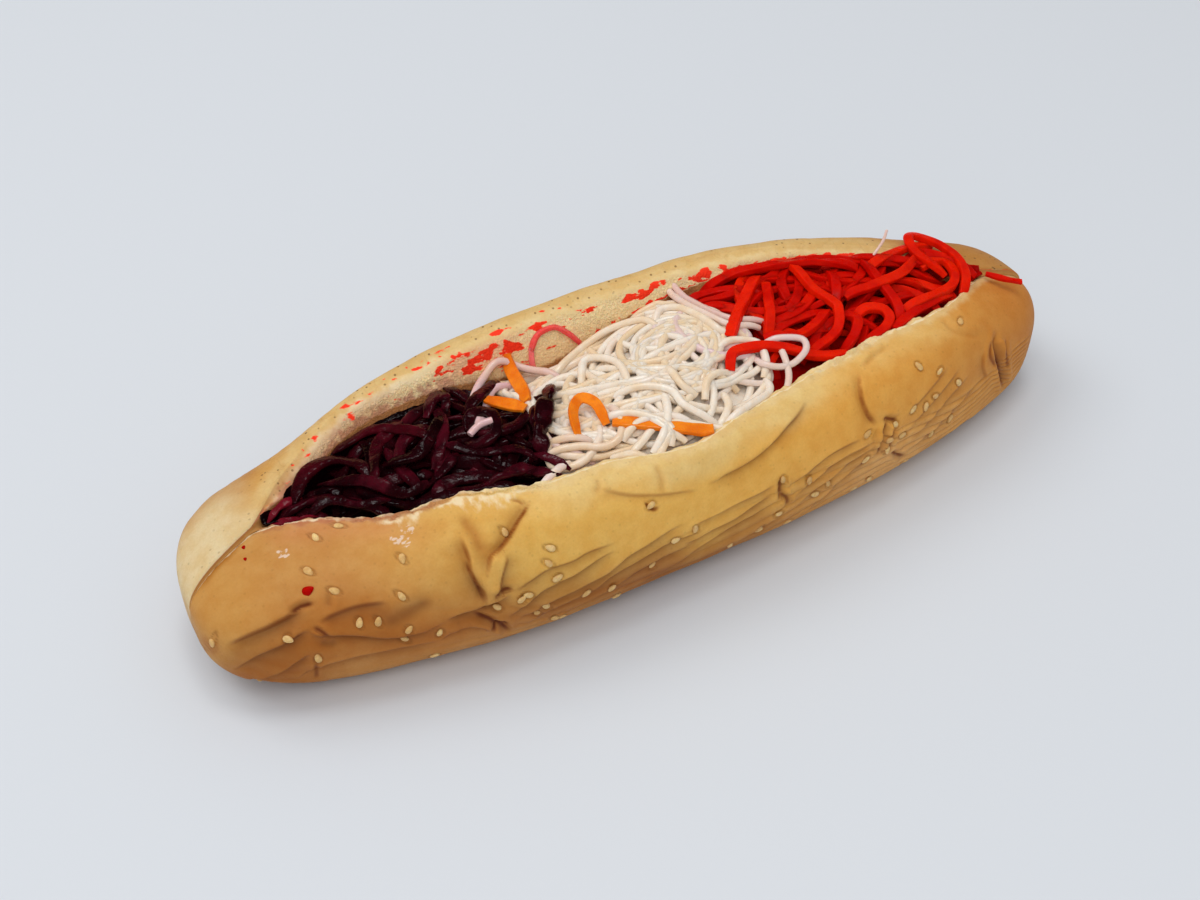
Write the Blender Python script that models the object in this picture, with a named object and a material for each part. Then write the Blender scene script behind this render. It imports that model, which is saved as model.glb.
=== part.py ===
"""A long sesame roll, slit along its top and filled with shredded beetroot, white radish and red carrot.

The roll lies along X on its flat underside at Z = 0, with the seeded near side towards -Y.  Its skin,
its cut faces and the core of its filling are lofts through sections worked out from the profiles below.
Sesame seeds are fused to the roll and shreds to the three heaps, each shred draped over what was laid
before it.  All sizes are in metres.
"""

import math
import random

import bmesh
import bpy
import numpy as np
from mathutils import Matrix, Vector

# --- the roll -------------------------------------------------------------------------------------
END_LEFT = -0.1505
END_RIGHT = 0.1500
FLOOR_THICKNESS = 0.012
NEAR_BELLY = 0.022
FAR_BELLY = 0.034
SLIT_LEFT = -0.128
SLIT_RIGHT = 0.134
SLIT_RUN_OUT = 0.028
SEAM_HALF_GAP = 0.0006
SEAM_DEPTH = 0.0008
SEAM_DIP = 0.0003
UPPER_POWER = 2.3
NEAR_LOWER_POWER = 2.2
FAR_LOWER_POWER = 1.9

# The cut surface where the slit is open: inward of a crest, then down from it.
FAR_LIP = (0.0012, 0.0006)
FAR_SHOULDER = (0.0060, 0.0035)
NEAR_LIP = (0.0006, 0.0004)
NEAR_SHOULDER = (0.0025, 0.0025)
# Half way down each face: inward of the crest, then the share of the depth.
FAR_FACE = (0.013, 0.45)
NEAR_FACE = (0.005, 0.50)
# The bed beside the hinge: share of the way out to a crest, and the rise there.
FAR_BED = 0.35
NEAR_BED = 0.45
BED_RISE = 0.003

# Each profile is (station x, value) from the left end to the right.
NEAR_SIDE = ((-0.150, -0.040), (-0.110, -0.041), (-0.060, -0.046), (0.0, -0.045), (0.060, -0.040),
             (0.110, -0.032), (0.150, -0.023))
FAR_SIDE = ((-0.150, 0.039), (-0.110, 0.0335), (-0.060, 0.042), (0.0, 0.0465), (0.040, 0.0462),
            (0.080, 0.044), (0.150, 0.040))
NEAR_FOOT = ((-0.150, -0.027), (-0.060, -0.031), (0.0, -0.030), (0.060, -0.027), (0.150, -0.019))
FAR_FOOT = ((-0.150, 0.017), (-0.060, 0.021), (0.0, 0.023), (0.060, 0.023), (0.150, 0.017))
NEAR_CREST = ((-0.150, 0.040), (-0.110, 0.044), (-0.060, 0.048), (0.060, 0.0485), (0.110, 0.047),
              (0.150, 0.041))
FAR_CREST = ((-0.150, 0.042), (-0.110, 0.0465), (-0.060, 0.054), (0.0, 0.057), (0.060, 0.057),
             (0.100, 0.051), (0.125, 0.047), (0.150, 0.044))
NEAR_RIM = ((-0.150, -0.005), (-0.128, 0.002), (-0.112, -0.0045), (-0.092, -0.0175), (-0.070, -0.0205),
            (-0.050, -0.0285), (-0.030, -0.0295), (0.0, -0.035), (0.015, -0.0305), (0.040, -0.0245),
            (0.070, -0.018), (0.110, -0.0115), (0.133, 0.0015), (0.150, 0.003))
FAR_RIM = ((-0.150, -0.005), (-0.128, 0.002), (-0.115, 0.014), (-0.090, 0.0295), (-0.060, 0.0345),
           (0.0, 0.037), (0.040, 0.0355), (0.080, 0.0305), (0.110, 0.022), (0.133, 0.004), (0.150, 0.003))

# The ends close towards a pole (y, z) by (1 - |x / end| ** p) ** (1 / q), with (p, q) for each direction.
POLE_LEFT = (-0.0075, 0.022)
POLE_RIGHT = (0.0005, 0.024)
ROUNDING_LEFT = {"near": (5.2, 2.6), "far": (6.0, 2.7), "height": (5.8, 3.1)}
ROUNDING_RIGHT = {"near": (3.4, 4.1), "far": (3.1, 4.9), "height": (3.5, 6.7)}

# Pleats run along the lower near side, from a share of the skin's length below the near crest to the foot.
PLEATS = 6
PLEAT_DEPTH = 0.0018
PLEAT_TOP = ((-0.150, 0.42), (-0.119, 0.42), (-0.081, 0.40), (-0.059, 0.52), (-0.030, 0.44), (0.0, 0.37),
             (0.050, 0.44), (0.100, 0.50), (0.150, 0.50))

# Folds of the crushed near side: width, depth and (x, z) points on it.
FOLDS = (
    (0.0030, 0.0022, ((-0.056, 0.0475), (-0.063, 0.044), (-0.070, 0.039), (-0.075, 0.028))),
    (0.0030, 0.0016, ((-0.074, 0.0440), (-0.076, 0.038), (-0.076, 0.029))),
    (0.0025, 0.0014, ((-0.120, 0.028), (-0.108, 0.023), (-0.095, 0.019), (-0.085, 0.022), (-0.077, 0.025))),
    (0.0030, 0.0018, ((-0.034, 0.047), (-0.012, 0.0455), (0.002, 0.041), (0.018, 0.042), (0.028, 0.047))),
    (0.0030, 0.0014, ((0.060, 0.046), (0.059, 0.033))),
    (0.0030, 0.0018, ((0.117, 0.036), (0.124, 0.024), (0.126, 0.011))),
    (0.0050, 0.0022, ((-0.074, 0.024), (-0.072, 0.018))),
    (0.0040, 0.0016, ((0.026, 0.026), (0.027, 0.020))),
    (0.0045, 0.0020, ((0.060, 0.029), (0.066, 0.018))),
)

SKIN_STATIONS = 34
END_RATIOS = (0.16, 0.34, 0.52, 0.70, 0.85)
UPPER_POINTS = 6
BASE_POINTS = 1
FAR_POINTS = 11
FACE_POINTS = 3
TROUGH_POINTS = 8
LIP_POINTS = 2
DENSE = 60

# --- the filling ----------------------------------------------------------------------------------
FAR_FILL = ((-0.150, 0.86), (-0.100, 0.87), (-0.060, 0.82), (-0.022, 0.68), (0.005, 0.80), (0.050, 0.92),
            (0.134, 0.95))
NEAR_FILL = 0.92
CROWN = ((-0.124, 0.0), (-0.080, 0.003), (-0.045, 0.004), (-0.020, 0.007), (0.010, 0.008), (0.040, 0.004),
         (0.090, 0.003), (0.130, 0.0))
FILLING_LEFT = -0.1262
FILLING_RIGHT = 0.132
BED_GAP = 0.0005
CORE_TOP_POINTS = 5
# Where one heap meets the next: (y, x) across the slit.
BEETROOT_EDGE = ((-0.040, -0.047), (-0.030, -0.044), (-0.011, -0.038), (0.008, -0.036), (0.030, -0.046))
CARROT_EDGE = ((-0.040, 0.040), (-0.026, 0.036), (0.004, 0.034), (0.020, 0.027), (0.032, 0.013))
HEAP_BOUNDS = {"beetroot": (None, BEETROOT_EDGE), "radish": (BEETROOT_EDGE, CARROT_EDGE),
               "carrot": (CARROT_EDGE, None)}
HEAP_NAMES = {"beetroot": "beetroot_heap", "radish": "radish_heap", "carrot": "red_carrot_heap"}
EDGE_HALF_GAP = 0.0002
SLIT_REACH = 0.040
BLOCK_HEIGHT = 0.1
BLOCK_POINTS = 9
GRID = 0.001
SINK = 0.5
CLEARANCE = 0.0007
EDGE_MARGIN = 0.0034
BRIDGING = 5
TUCK = 0.0004
# Where the height below a shred is looked up: shares of a step along it and of its half width.
UNDER_RUN = (-0.5, 0.0, 0.5)
UNDER_SIDE = (-1.0, 0.0, 1.0)

# --- seeds ----------------------------------------------------------------------------------------
SEED_LENGTH = 0.0033
SEED_WIDTH = 0.0021
SEED_THICKNESS = 0.0013
SEED_TAPER = 0.35
SEED_RISE = 0.0002
SEED_DRAWS = 7
BAND_SEEDS = 26
BAND_SEED_SPACING = 0.0065
BAND_SEED_ENDS = (-0.128, 0.122)
BAND_SEED_MARGINS = (0.002, 0.006)
# Seeds that lie singly on the smooth upper part: (x, skin length below the near crest).
DOME_SEEDS = ((-0.112, 0.006), (-0.106, 0.004), (-0.064, 0.015), (-0.094, 0.016), (-0.118, 0.019),
              (-0.056, 0.025), (-0.114, 0.027), (-0.098, 0.027), (-0.054, 0.030), (-0.063, 0.035),
              (-0.110, 0.035), (-0.105, 0.034), (-0.007, 0.025), (-0.014, 0.029), (-0.021, 0.014),
              (0.083, 0.016), (0.091, 0.018), (0.100, 0.025), (0.088, 0.027), (0.106, 0.008),
              (0.071, 0.030), (0.059, 0.028))

# --- shreds: kind, rise of the middle above what it lies on, (x, y) points in plan ----------------
NOODLE_RADIUS = 0.0013
SHRED_STEP = 0.0044
STRIP_END = 0.65
LOOSE_POINTS = 5
LOOSE_TRIES = 30
STRIP_SIZES = {"beetroot": (0.0046, 0.0020), "carrot": (0.0034, 0.0024), "orange": (0.0044, 0.0016)}
PLACED_SHREDS = (
    ("beetroot", 0.0, ((-0.119, -0.001), (-0.110, 0.002), (-0.099, -0.004), (-0.090, -0.012))),
    ("beetroot", 0.0, ((-0.110, 0.005), (-0.105, 0.013), (-0.097, 0.014), (-0.091, 0.006))),
    ("beetroot", 0.0, ((-0.090, -0.004), (-0.085, 0.010), (-0.077, 0.016), (-0.071, 0.019))),
    ("beetroot", 0.0, ((-0.064, 0.017), (-0.058, 0.024), (-0.052, 0.022))),
    ("beetroot", 0.0, ((-0.076, -0.014), (-0.070, -0.010), (-0.062, -0.012), (-0.054, -0.017))),
    ("beetroot", 0.0, ((-0.084, 0.003), (-0.075, 0.002), (-0.067, 0.007), (-0.062, 0.012))),
    ("beetroot", 0.0, ((-0.058, 0.004), (-0.053, 0.008), (-0.049, 0.004), (-0.051, -0.002),
                       (-0.057, -0.004))),
    ("carrot", 0.0, ((0.055, 0.021), (0.047, 0.012), (0.041, 0.002))),
    ("carrot", 0.0, ((0.067, 0.021), (0.067, 0.009), (0.070, 0.0), (0.065, -0.009), (0.056, -0.013))),
    ("carrot", 0.0, ((0.092, 0.016), (0.091, 0.004), (0.090, -0.006))),
    ("carrot", 0.0, ((0.078, 0.002), (0.097, 0.005), (0.116, 0.013))),
    ("carrot", 0.0, ((0.112, 0.008), (0.118, 0.006), (0.114, -0.002), (0.101, -0.005), (0.094, -0.006))),
    ("carrot", 0.0, ((0.110, -0.002), (0.098, -0.006), (0.085, -0.010))),
    ("carrot", 0.0, ((0.075, -0.004), (0.082, -0.004), (0.084, -0.009), (0.076, -0.013))),
    ("carrot", 0.0, ((0.042, -0.006), (0.051, -0.007), (0.061, -0.004))),
    ("carrot", 0.002, ((0.117, 0.009), (0.112, 0.015), (0.117, 0.018), (0.121, 0.012), (0.121, 0.006))),
    ("radish", 0.0, ((-0.023, 0.015), (-0.012, 0.021), (-0.004, 0.023), (0.004, 0.022), (0.013, 0.015))),
    ("radish", 0.0, ((0.012, 0.018), (0.018, 0.020), (0.023, 0.017), (0.026, 0.010), (0.031, 0.001))),
    ("radish", 0.0, ((0.010, 0.024), (0.019, 0.024), (0.026, 0.015), (0.032, 0.004), (0.042, 0.001))),
    ("radish", 0.0, ((0.022, -0.004), (0.027, -0.003), (0.033, -0.004), (0.037, -0.008), (0.035, -0.015))),
    ("radish", 0.0, ((0.029, -0.012), (0.038, -0.017), (0.046, -0.015), (0.050, -0.010), (0.044, -0.006))),
    ("radish", 0.0, ((0.033, -0.017), (0.031, -0.022), (0.024, -0.025), (0.014, -0.028))),
    ("radish", 0.0, ((0.022, -0.012), (0.015, -0.014), (0.010, -0.019), (0.008, -0.026))),
    ("radish", 0.0, ((0.005, -0.004), (0.005, -0.013), (0.010, -0.018), (0.017, -0.021))),
    ("radish", 0.0, ((-0.019, 0.004), (-0.015, 0.012), (-0.010, 0.011), (-0.007, 0.004), (-0.008, -0.005))),
    ("radish", 0.0, ((-0.048, 0.016), (-0.043, 0.022), (-0.036, 0.025), (-0.029, 0.021), (-0.021, 0.014))),
    ("radish", 0.0, ((-0.041, -0.016), (-0.032, -0.019), (-0.024, -0.022), (-0.018, -0.018),
                     (-0.017, -0.009))),
    ("radish", 0.0, ((-0.020, -0.026), (-0.014, -0.024), (-0.007, -0.023), (0.0, -0.025), (0.006, -0.028))),
    ("radish", 0.0, ((-0.014, -0.006), (-0.005, -0.010), (0.001, -0.015), (0.002, -0.021), (0.008, -0.026))),
    ("beetroot", 0.0, ((-0.029, 0.006), (-0.034, -0.001), (-0.040, -0.008), (-0.046, -0.013),
                       (-0.052, -0.015))),
    ("orange", 0.0, ((-0.017, -0.018), (-0.007, -0.023), (0.003, -0.028))),
    ("orange", 0.0, ((-0.047, 0.014), (-0.043, 0.009), (-0.039, 0.004))),
    ("orange", 0.0, ((-0.034, 0.025), (-0.035, 0.016), (-0.037, 0.008))),
    ("orange", 0.003, ((-0.031, -0.014), (-0.029, -0.008), (-0.025, -0.006), (-0.022, -0.010),
                       (-0.024, -0.016))),
)
# Seeded shreds that fill in between: kind, how many, length, tightest bend radius, seed of the draws.
LOOSE_SHREDS = (
    ("beetroot", 10, 0.020, 0.018, 4),
    ("carrot", 12, 0.024, 0.020, 5),
    ("radish", 9, 0.026, 0.013, 12),
)

MATERIALS = {
    "roll": ((0.56, 0.31, 0.09), 0.50),
    "beetroot": ((0.022, 0.002, 0.004), 0.22),
    "radish": ((0.74, 0.65, 0.50), 0.30),
    "carrot": ((0.50, 0.008, 0.002), 0.30),
    "orange": ((0.70, 0.13, 0.006), 0.32),
}


def clear_scene():
    """Removes every object, so that the model starts from nothing."""
    for thing in list(bpy.data.objects):
        bpy.data.objects.remove(thing, do_unlink=True)


def new_collection(name, hidden=False):
    collection = bpy.data.collections.new(name)
    bpy.context.scene.collection.children.link(collection)
    collection.hide_render = hidden
    return collection


def new_material(name):
    colour, roughness = MATERIALS[name]
    material = bpy.data.materials.new(name)
    material.use_nodes = True
    shader = material.node_tree.nodes["Principled BSDF"]
    shader.inputs["Base Color"].default_value = (*colour, 1.0)
    shader.inputs["Roughness"].default_value = roughness
    shader.inputs["Metallic"].default_value = 0.0
    return material


# --- curves in a section --------------------------------------------------------------------------
def profile(x, keys):
    """Value at x of the smooth curve through the (x, value) keys."""
    stations, values = np.array(keys).T
    slopes = np.gradient(values, stations)
    x = np.clip(x, stations[0], stations[-1])
    i = np.clip(np.searchsorted(stations, x, side="right") - 1, 0, len(stations) - 2)
    step = stations[i + 1] - stations[i]
    t = (x - stations[i]) / step
    start = (2 * t**3 - 3 * t**2 + 1) * values[i] + (t**3 - 2 * t**2 + t) * step * slopes[i]
    return start + (3 * t**2 - 2 * t**3) * values[i + 1] + (t**3 - t**2) * step * slopes[i + 1]


def smooth_step(value):
    value = min(max(value, 0.0), 1.0)
    return value * value * (3 - 2 * value)


def through(points, count):
    """A smooth curve through the points, as count points that are even in parameter."""
    points = np.array(points, float)
    last = len(points) - 1
    t = np.linspace(0, last, count)
    i = np.clip(t.astype(int), 0, last - 1)
    f = (t - i)[:, None]
    before, start, end, after = (points[np.clip(i + k, 0, last)] for k in (-1, 0, 1, 2))
    cubic = 3 * start - before - 3 * end + after
    square = 2 * before - 5 * start + 4 * end - after
    return start + 0.5 * ((end - before) * f + square * f**2 + cubic * f**3)


def lengths_along(points):
    steps = np.linalg.norm(np.diff(points, axis=0), axis=1)
    return np.concatenate([[0.0], np.cumsum(steps)])


def points_at(points, lengths):
    """Points of the polyline at the given lengths along it."""
    along = lengths_along(points)
    return np.stack([np.interp(lengths, along, points[:, k]) for k in range(points.shape[1])], axis=1)


def evenly(points, count):
    return points_at(points, np.linspace(0, lengths_along(points)[-1], count))


def quarter(centre_y, centre_z, reach_y, reach_z, power):
    """A quarter of a superellipse, from straight above the centre to straight beside it."""
    angle = np.linspace(0, math.pi / 2, DENSE)
    y = centre_y + reach_y * np.sin(angle) ** (2 / power)
    z = centre_z + reach_z * np.cos(angle) ** (2 / power)
    return np.stack([y, z], axis=1)


# --- the roll's section at a station --------------------------------------------------------------
def end_scale(x, direction):
    end, rounding = (END_LEFT, ROUNDING_LEFT) if x < 0 else (END_RIGHT, ROUNDING_RIGHT)
    p, q = rounding[direction]
    return max(1 - abs(x / end) ** p, 0.0) ** (1 / q)


def rounded_off(x, points):
    """The section's points drawn in towards the pole near an end of the roll."""
    pole_y, pole_z = POLE_LEFT if x < 0 else POLE_RIGHT
    y, z = points.T
    sideways = np.where(y < pole_y, end_scale(x, "near"), end_scale(x, "far"))
    return np.stack([pole_y + (y - pole_y) * sideways, pole_z + (z - pole_z) * end_scale(x, "height")], axis=1)


def rims(x):
    """The near and far crests (y, z) at a station, and how far the slit is open there, from 0 to 1."""
    opening = smooth_step(min(x - SLIT_LEFT, SLIT_RIGHT - x) / SLIT_RUN_OUT)
    near_y = profile(x, NEAR_RIM)
    far_y = profile(x, FAR_RIM)
    middle = (near_y + far_y) / 2
    near = (min(near_y, middle - SEAM_HALF_GAP), profile(x, NEAR_CREST))
    far = (max(far_y, middle + SEAM_HALF_GAP), profile(x, FAR_CREST))
    return near, far, opening


def near_skin(x):
    """The skin from the near crest round the near side down to the base."""
    (rim, crest), _, _ = rims(x)
    side = profile(x, NEAR_SIDE)
    foot = profile(x, NEAR_FOOT)
    upper = quarter(rim, NEAR_BELLY, side - rim, crest - NEAR_BELLY, UPPER_POWER)
    lower = quarter(foot, NEAR_BELLY, side - foot, -NEAR_BELLY, NEAR_LOWER_POWER)
    return rounded_off(x, np.vstack([upper, lower[-2::-1]]))


def far_skin(x):
    """The skin from the base up the far side to the far crest."""
    _, (rim, crest), _ = rims(x)
    side = profile(x, FAR_SIDE)
    foot = profile(x, FAR_FOOT)
    lower = quarter(foot, FAR_BELLY, side - foot, -FAR_BELLY, FAR_LOWER_POWER)
    upper = quarter(rim, FAR_BELLY, side - rim, crest - FAR_BELLY, UPPER_POWER)
    return rounded_off(x, np.vstack([lower, upper[-2::-1]]))


def slit_surface(x):
    """The cut surface from the far crest down the far face, over the hinge and up to the near crest."""
    (near_y, near_z), (far_y, far_z), open_ = rims(x)
    middle = (near_y + far_y) / 2
    dip = SEAM_DIP * (1 - open_)
    bottom = ((near_z + far_z) / 2 - SEAM_DEPTH) * (1 - open_) + FLOOR_THICKNESS * open_

    def below(crest_y, crest_z, inward, down):
        side = 1 if crest_y < middle else -1
        return (crest_y + side * inward * open_, crest_z - down * open_ - dip)

    points = (
        (far_y, far_z),
        below(far_y, far_z, *FAR_LIP),
        below(far_y, far_z, *FAR_SHOULDER),
        below(far_y, far_z, FAR_FACE[0], (far_z - bottom) * FAR_FACE[1]),
        (FAR_BED * far_y + (1 - FAR_BED) * middle, bottom + BED_RISE * open_),
        (middle, bottom),
        (NEAR_BED * near_y + (1 - NEAR_BED) * middle, bottom + BED_RISE * open_),
        below(near_y, near_z, NEAR_FACE[0], (near_z - bottom) * NEAR_FACE[1]),
        below(near_y, near_z, *NEAR_SHOULDER),
        below(near_y, near_z, *NEAR_LIP),
    )
    return rounded_off(x, through(points, 4 * DENSE))


def slit_parts(x):
    """The cut surface in three: bare far face, the trough that the filling lies in, bare near lip."""
    curve = slit_surface(x)
    low = int(curve[:, 1].argmin())
    bottom = curve[low, 1]
    far_level = bottom + (curve[0, 1] - bottom) * profile(x, FAR_FILL)
    near_level = bottom + (curve[-1, 1] - bottom) * NEAR_FILL
    far_end = int(np.argmax(curve[:, 1] < far_level))
    near_end = low + int(np.argmax(curve[low:, 1] > near_level))
    return curve[: far_end + 1], curve[far_end : near_end + 1], curve[near_end:]


def near_lengths(x):
    """Lengths along the near skin of its points: some above the pleats, then two to each pleat."""
    total = lengths_along(near_skin(x))[-1]
    top = total * profile(x, PLEAT_TOP)
    above = np.linspace(0, top, UPPER_POINTS, endpoint=False)
    return np.concatenate([above, np.linspace(top, total, 2 * PLEATS + 1)])


def roll_section(x):
    """The roll's closed loop of (y, z) points at a station."""
    near = points_at(near_skin(x), near_lengths(x))
    far = evenly(far_skin(x), FAR_POINTS)
    steps = np.linspace(0, 1, BASE_POINTS + 2)[1:-1, None]
    base = near[-1] * (1 - steps) + far[0] * steps
    face, trough, lip = slit_parts(x)
    face = evenly(face, FACE_POINTS + 1)[1:-1]
    trough = evenly(trough, TROUGH_POINTS)
    lip = evenly(lip, LIP_POINTS + 1)[1:-1]
    return np.vstack([near, base, far, face, trough, lip])


TROUGH_START = UPPER_POINTS + 2 * PLEATS + 1 + BASE_POINTS + FAR_POINTS + FACE_POINTS - 1


def skin_stations():
    """Stations along the roll: even along its body, closer where its ends round off."""
    def at_ratio(end, rounding, ratio):
        p, q = rounding["near"]
        return end * (1 - ratio**q) ** (1 / p)
    left = [at_ratio(END_LEFT, ROUNDING_LEFT, ratio) for ratio in END_RATIOS]
    right = [at_ratio(END_RIGHT, ROUNDING_RIGHT, ratio) for ratio in END_RATIOS]
    body = np.linspace(left[-1], right[-1], SKIN_STATIONS)
    return np.concatenate([left[:-1], body, right[-2::-1]])


# --- relief of the skin ---------------------------------------------------------------------------
def grid_normals(grid):
    """Outward normals of a grid of points, stations by loop points."""
    along = np.gradient(grid, axis=0)
    around = np.roll(grid, -1, axis=1) - np.roll(grid, 1, axis=1)
    normals = np.cross(around, along)
    return normals / np.linalg.norm(normals, axis=2, keepdims=True)


def near_point(x, z):
    """The point of the smooth near side at a station and height."""
    skin = near_skin(x)
    return (x, float(np.interp(-z, -skin[:, 1], skin[:, 0])), z)


def distance_to_line(points, line):
    """Distance of each point from a polyline in space."""
    nearest = np.full(points.shape[:-1], np.inf)
    for start, end in zip(line[:-1], line[1:]):
        run = end - start
        share = np.clip((points - start) @ run / (run @ run), 0, 1)
        gap = np.linalg.norm(points - start - share[..., None] * run, axis=-1)
        nearest = np.minimum(nearest, gap)
    return nearest


def fold_depth(points):
    depth = np.zeros(points.shape[:-1])
    for width, deep, line in FOLDS:
        spots = np.array([near_point(x, z) for x, z in line])
        depth += deep * np.exp(-((distance_to_line(points, spots) / width) ** 2))
    return depth


def pleat_height(x):
    """Height of the near skin's points over the smooth side: rounded pleats between sharp valleys."""
    phase = np.arange(2 * PLEATS + 1) / 2
    wave = np.abs(np.sin(math.pi * phase)) - 0.5
    wave[[0, -1]] = 0.0
    return np.concatenate([np.zeros(UPPER_POINTS), wave]) * PLEAT_DEPTH * end_scale(x, "near")


def roll_grid(stations):
    """Points of the roll's surface, with its pleats and folds."""
    grid = np.array([[(x, y, z) for y, z in roll_section(x)] for x in stations])
    normals = grid_normals(grid)
    height = -fold_depth(grid)
    near = UPPER_POINTS + 2 * PLEATS + 1
    height[:, :near] += np.array([pleat_height(x) for x in stations])
    height[:, TROUGH_START - 2 :] = 0.0
    grid = grid + normals * height[..., None]
    grid[..., 2] = np.maximum(grid[..., 2], 0.0)
    return grid


# --- solids ---------------------------------------------------------------------------------------
def add_mesh(name, mesh, material, collection):
    thing = bpy.data.objects.new(name, mesh)
    if material is not None and not mesh.materials:
        mesh.materials.append(material)
    collection.objects.link(thing)
    return thing


def loft(name, grid, caps, material, collection):
    """A closed solid through a grid of loops, each end closed by a fan about a cap point."""
    bm = bmesh.new()
    rings = [[bm.verts.new(point) for point in ring] for ring in grid]
    for ring, following in zip(rings[:-1], rings[1:]):
        for j, corner in enumerate(ring):
            k = (j + 1) % len(ring)
            bm.faces.new((corner, ring[k], following[k]))
            bm.faces.new((corner, following[k], following[j]))
    for ring, cap in zip((rings[0], rings[-1]), caps):
        centre = bm.verts.new(cap)
        for j, corner in enumerate(ring):
            bm.faces.new((corner, ring[(j + 1) % len(ring)], centre))
    bmesh.ops.recalc_face_normals(bm, faces=bm.faces)
    mesh = bpy.data.meshes.new(name)
    bm.to_mesh(mesh)
    bm.free()
    return add_mesh(name, mesh, material, collection)


def baked(thing):
    """The thing's evaluated mesh, with its modifiers applied and its place in the mesh."""
    graph = bpy.context.evaluated_depsgraph_get()
    mesh = bpy.data.meshes.new_from_object(thing.evaluated_get(graph), depsgraph=graph)
    mesh.transform(thing.matrix_world)
    return mesh


def keep_main_body(mesh):
    """Drops loose scraps and the walls of sealed hollows, and keeps the largest body."""
    bm = bmesh.new()
    bm.from_mesh(mesh)
    bmesh.ops.remove_doubles(bm, verts=bm.verts, dist=1e-6)
    bmesh.ops.dissolve_degenerate(bm, dist=1e-6, edges=bm.edges)
    bmesh.ops.triangulate(bm, faces=bm.faces)
    left = set(bm.verts)
    bodies = []
    while left:
        body = {left.pop()}
        front = list(body)
        while front:
            vert = front.pop()
            linked = {edge.other_vert(vert) for edge in vert.link_edges} - body
            body |= linked
            front.extend(linked)
        left -= body
        bodies.append(body)
    bodies.sort(key=len)
    scraps = [vert for body in bodies[:-1] for vert in body]
    bmesh.ops.delete(bm, geom=scraps, context="VERTS")
    bm.to_mesh(mesh)
    bm.free()


def combine(thing, tools, operation):
    """Joins the tools to the thing, or cuts it by them, as one solid, and removes the tools."""
    group = new_collection("tools", hidden=True)
    for tool in tools:
        for owner in list(tool.users_collection):
            owner.objects.unlink(tool)
        group.objects.link(tool)
    boolean = thing.modifiers.new("combine", "BOOLEAN")
    boolean.operand_type = "COLLECTION"
    boolean.collection = group
    boolean.operation = operation
    boolean.solver = "MANIFOLD"
    mesh = baked(thing)
    thing.modifiers.clear()
    keep_main_body(mesh)
    thing.data = mesh
    for tool in tools:
        bpy.data.objects.remove(tool, do_unlink=True)
    bpy.data.collections.remove(group)


# --- the roll and its seeds -----------------------------------------------------------------------
def make_roll(material, collection):
    stations = skin_stations()
    grid = roll_grid(stations)
    caps = ((END_LEFT, *POLE_LEFT), (END_RIGHT, *POLE_RIGHT))
    return loft("bun", grid, caps, material, collection)


def seed_spots():
    """Stations and skin lengths of the seeds: single ones on the dome, closer ones on the pleats."""
    draws = random.Random(SEED_DRAWS)
    spots = list(DOME_SEEDS)
    placed = 0
    while placed < BAND_SEEDS:
        x = draws.uniform(*BAND_SEED_ENDS)
        lengths = near_lengths(x)
        s = draws.uniform(lengths[UPPER_POINTS] + BAND_SEED_MARGINS[0], lengths[-1] - BAND_SEED_MARGINS[1])
        if all(math.hypot(x - other_x, s - other_s) > BAND_SEED_SPACING for other_x, other_s in spots):
            spots.append((x, s))
            placed += 1
    return spots


def skin_frame(x, s):
    """The point of the near skin at a station and length below the crest, and its outward normal."""
    def point(station, length):
        y, z = points_at(near_skin(station), [length])[0]
        return Vector((station, y, z))
    here = point(x, s)
    along = point(x + 0.001, s) - point(x - 0.001, s)
    down = point(x, s + 0.001) - point(x, max(s - 0.001, 0.0))
    return here, down.cross(along).normalized(), along.normalized()


def make_seed(x, s, spin, collection):
    """A flat drop-shaped seed half sunk in the skin."""
    here, normal, along = skin_frame(x, s)
    relief = np.interp(s, near_lengths(x), pleat_height(x)) - fold_depth(np.array(here))
    bpy.ops.mesh.primitive_uv_sphere_add(segments=6, ring_count=3, radius=0.5)
    seed = bpy.context.object
    for vert in seed.data.vertices:
        taper = 1 - SEED_TAPER * vert.co.z
        vert.co = Vector((vert.co.z * SEED_LENGTH, vert.co.x * SEED_WIDTH * taper, vert.co.y * SEED_THICKNESS))
    across = normal.cross(along)
    turned = along * math.cos(spin) + across * math.sin(spin)
    side = normal.cross(turned)
    frame = Matrix((turned, side, normal)).transposed().to_4x4()
    frame.translation = here + normal * (SEED_RISE + float(relief))
    seed.data.transform(frame)
    for owner in list(seed.users_collection):
        owner.objects.unlink(seed)
    collection.objects.link(seed)
    return seed


# --- the filling ----------------------------------------------------------------------------------
def top_height(x, y):
    """Height of the filling's core over a point in plan."""
    _, trough, _ = slit_parts(x)
    far, near = trough[0], trough[-1]
    share = np.clip((y - near[0]) / (far[0] - near[0]), 0, 1)
    return near[1] + (far[1] - near[1]) * share + profile(x, CROWN) * (1 - (2 * share - 1) ** 2)


def core_section(x):
    """The core's loop at a station: the trough's own points drawn in by the gap, then the top."""
    _, trough, _ = slit_parts(x)
    bed = evenly(trough, TROUGH_POINTS)
    tangent = np.gradient(bed, axis=0)
    inward = np.stack([tangent[:, 1], -tangent[:, 0]], axis=1)
    inward /= np.linalg.norm(inward, axis=1, keepdims=True)
    bed = bed + inward * BED_GAP
    y = np.linspace(bed[-1, 0], bed[0, 0], CORE_TOP_POINTS + 2)[1:-1]
    top = np.stack([y, top_height(x, y)], axis=1)
    return np.vstack([bed, top])


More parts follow.
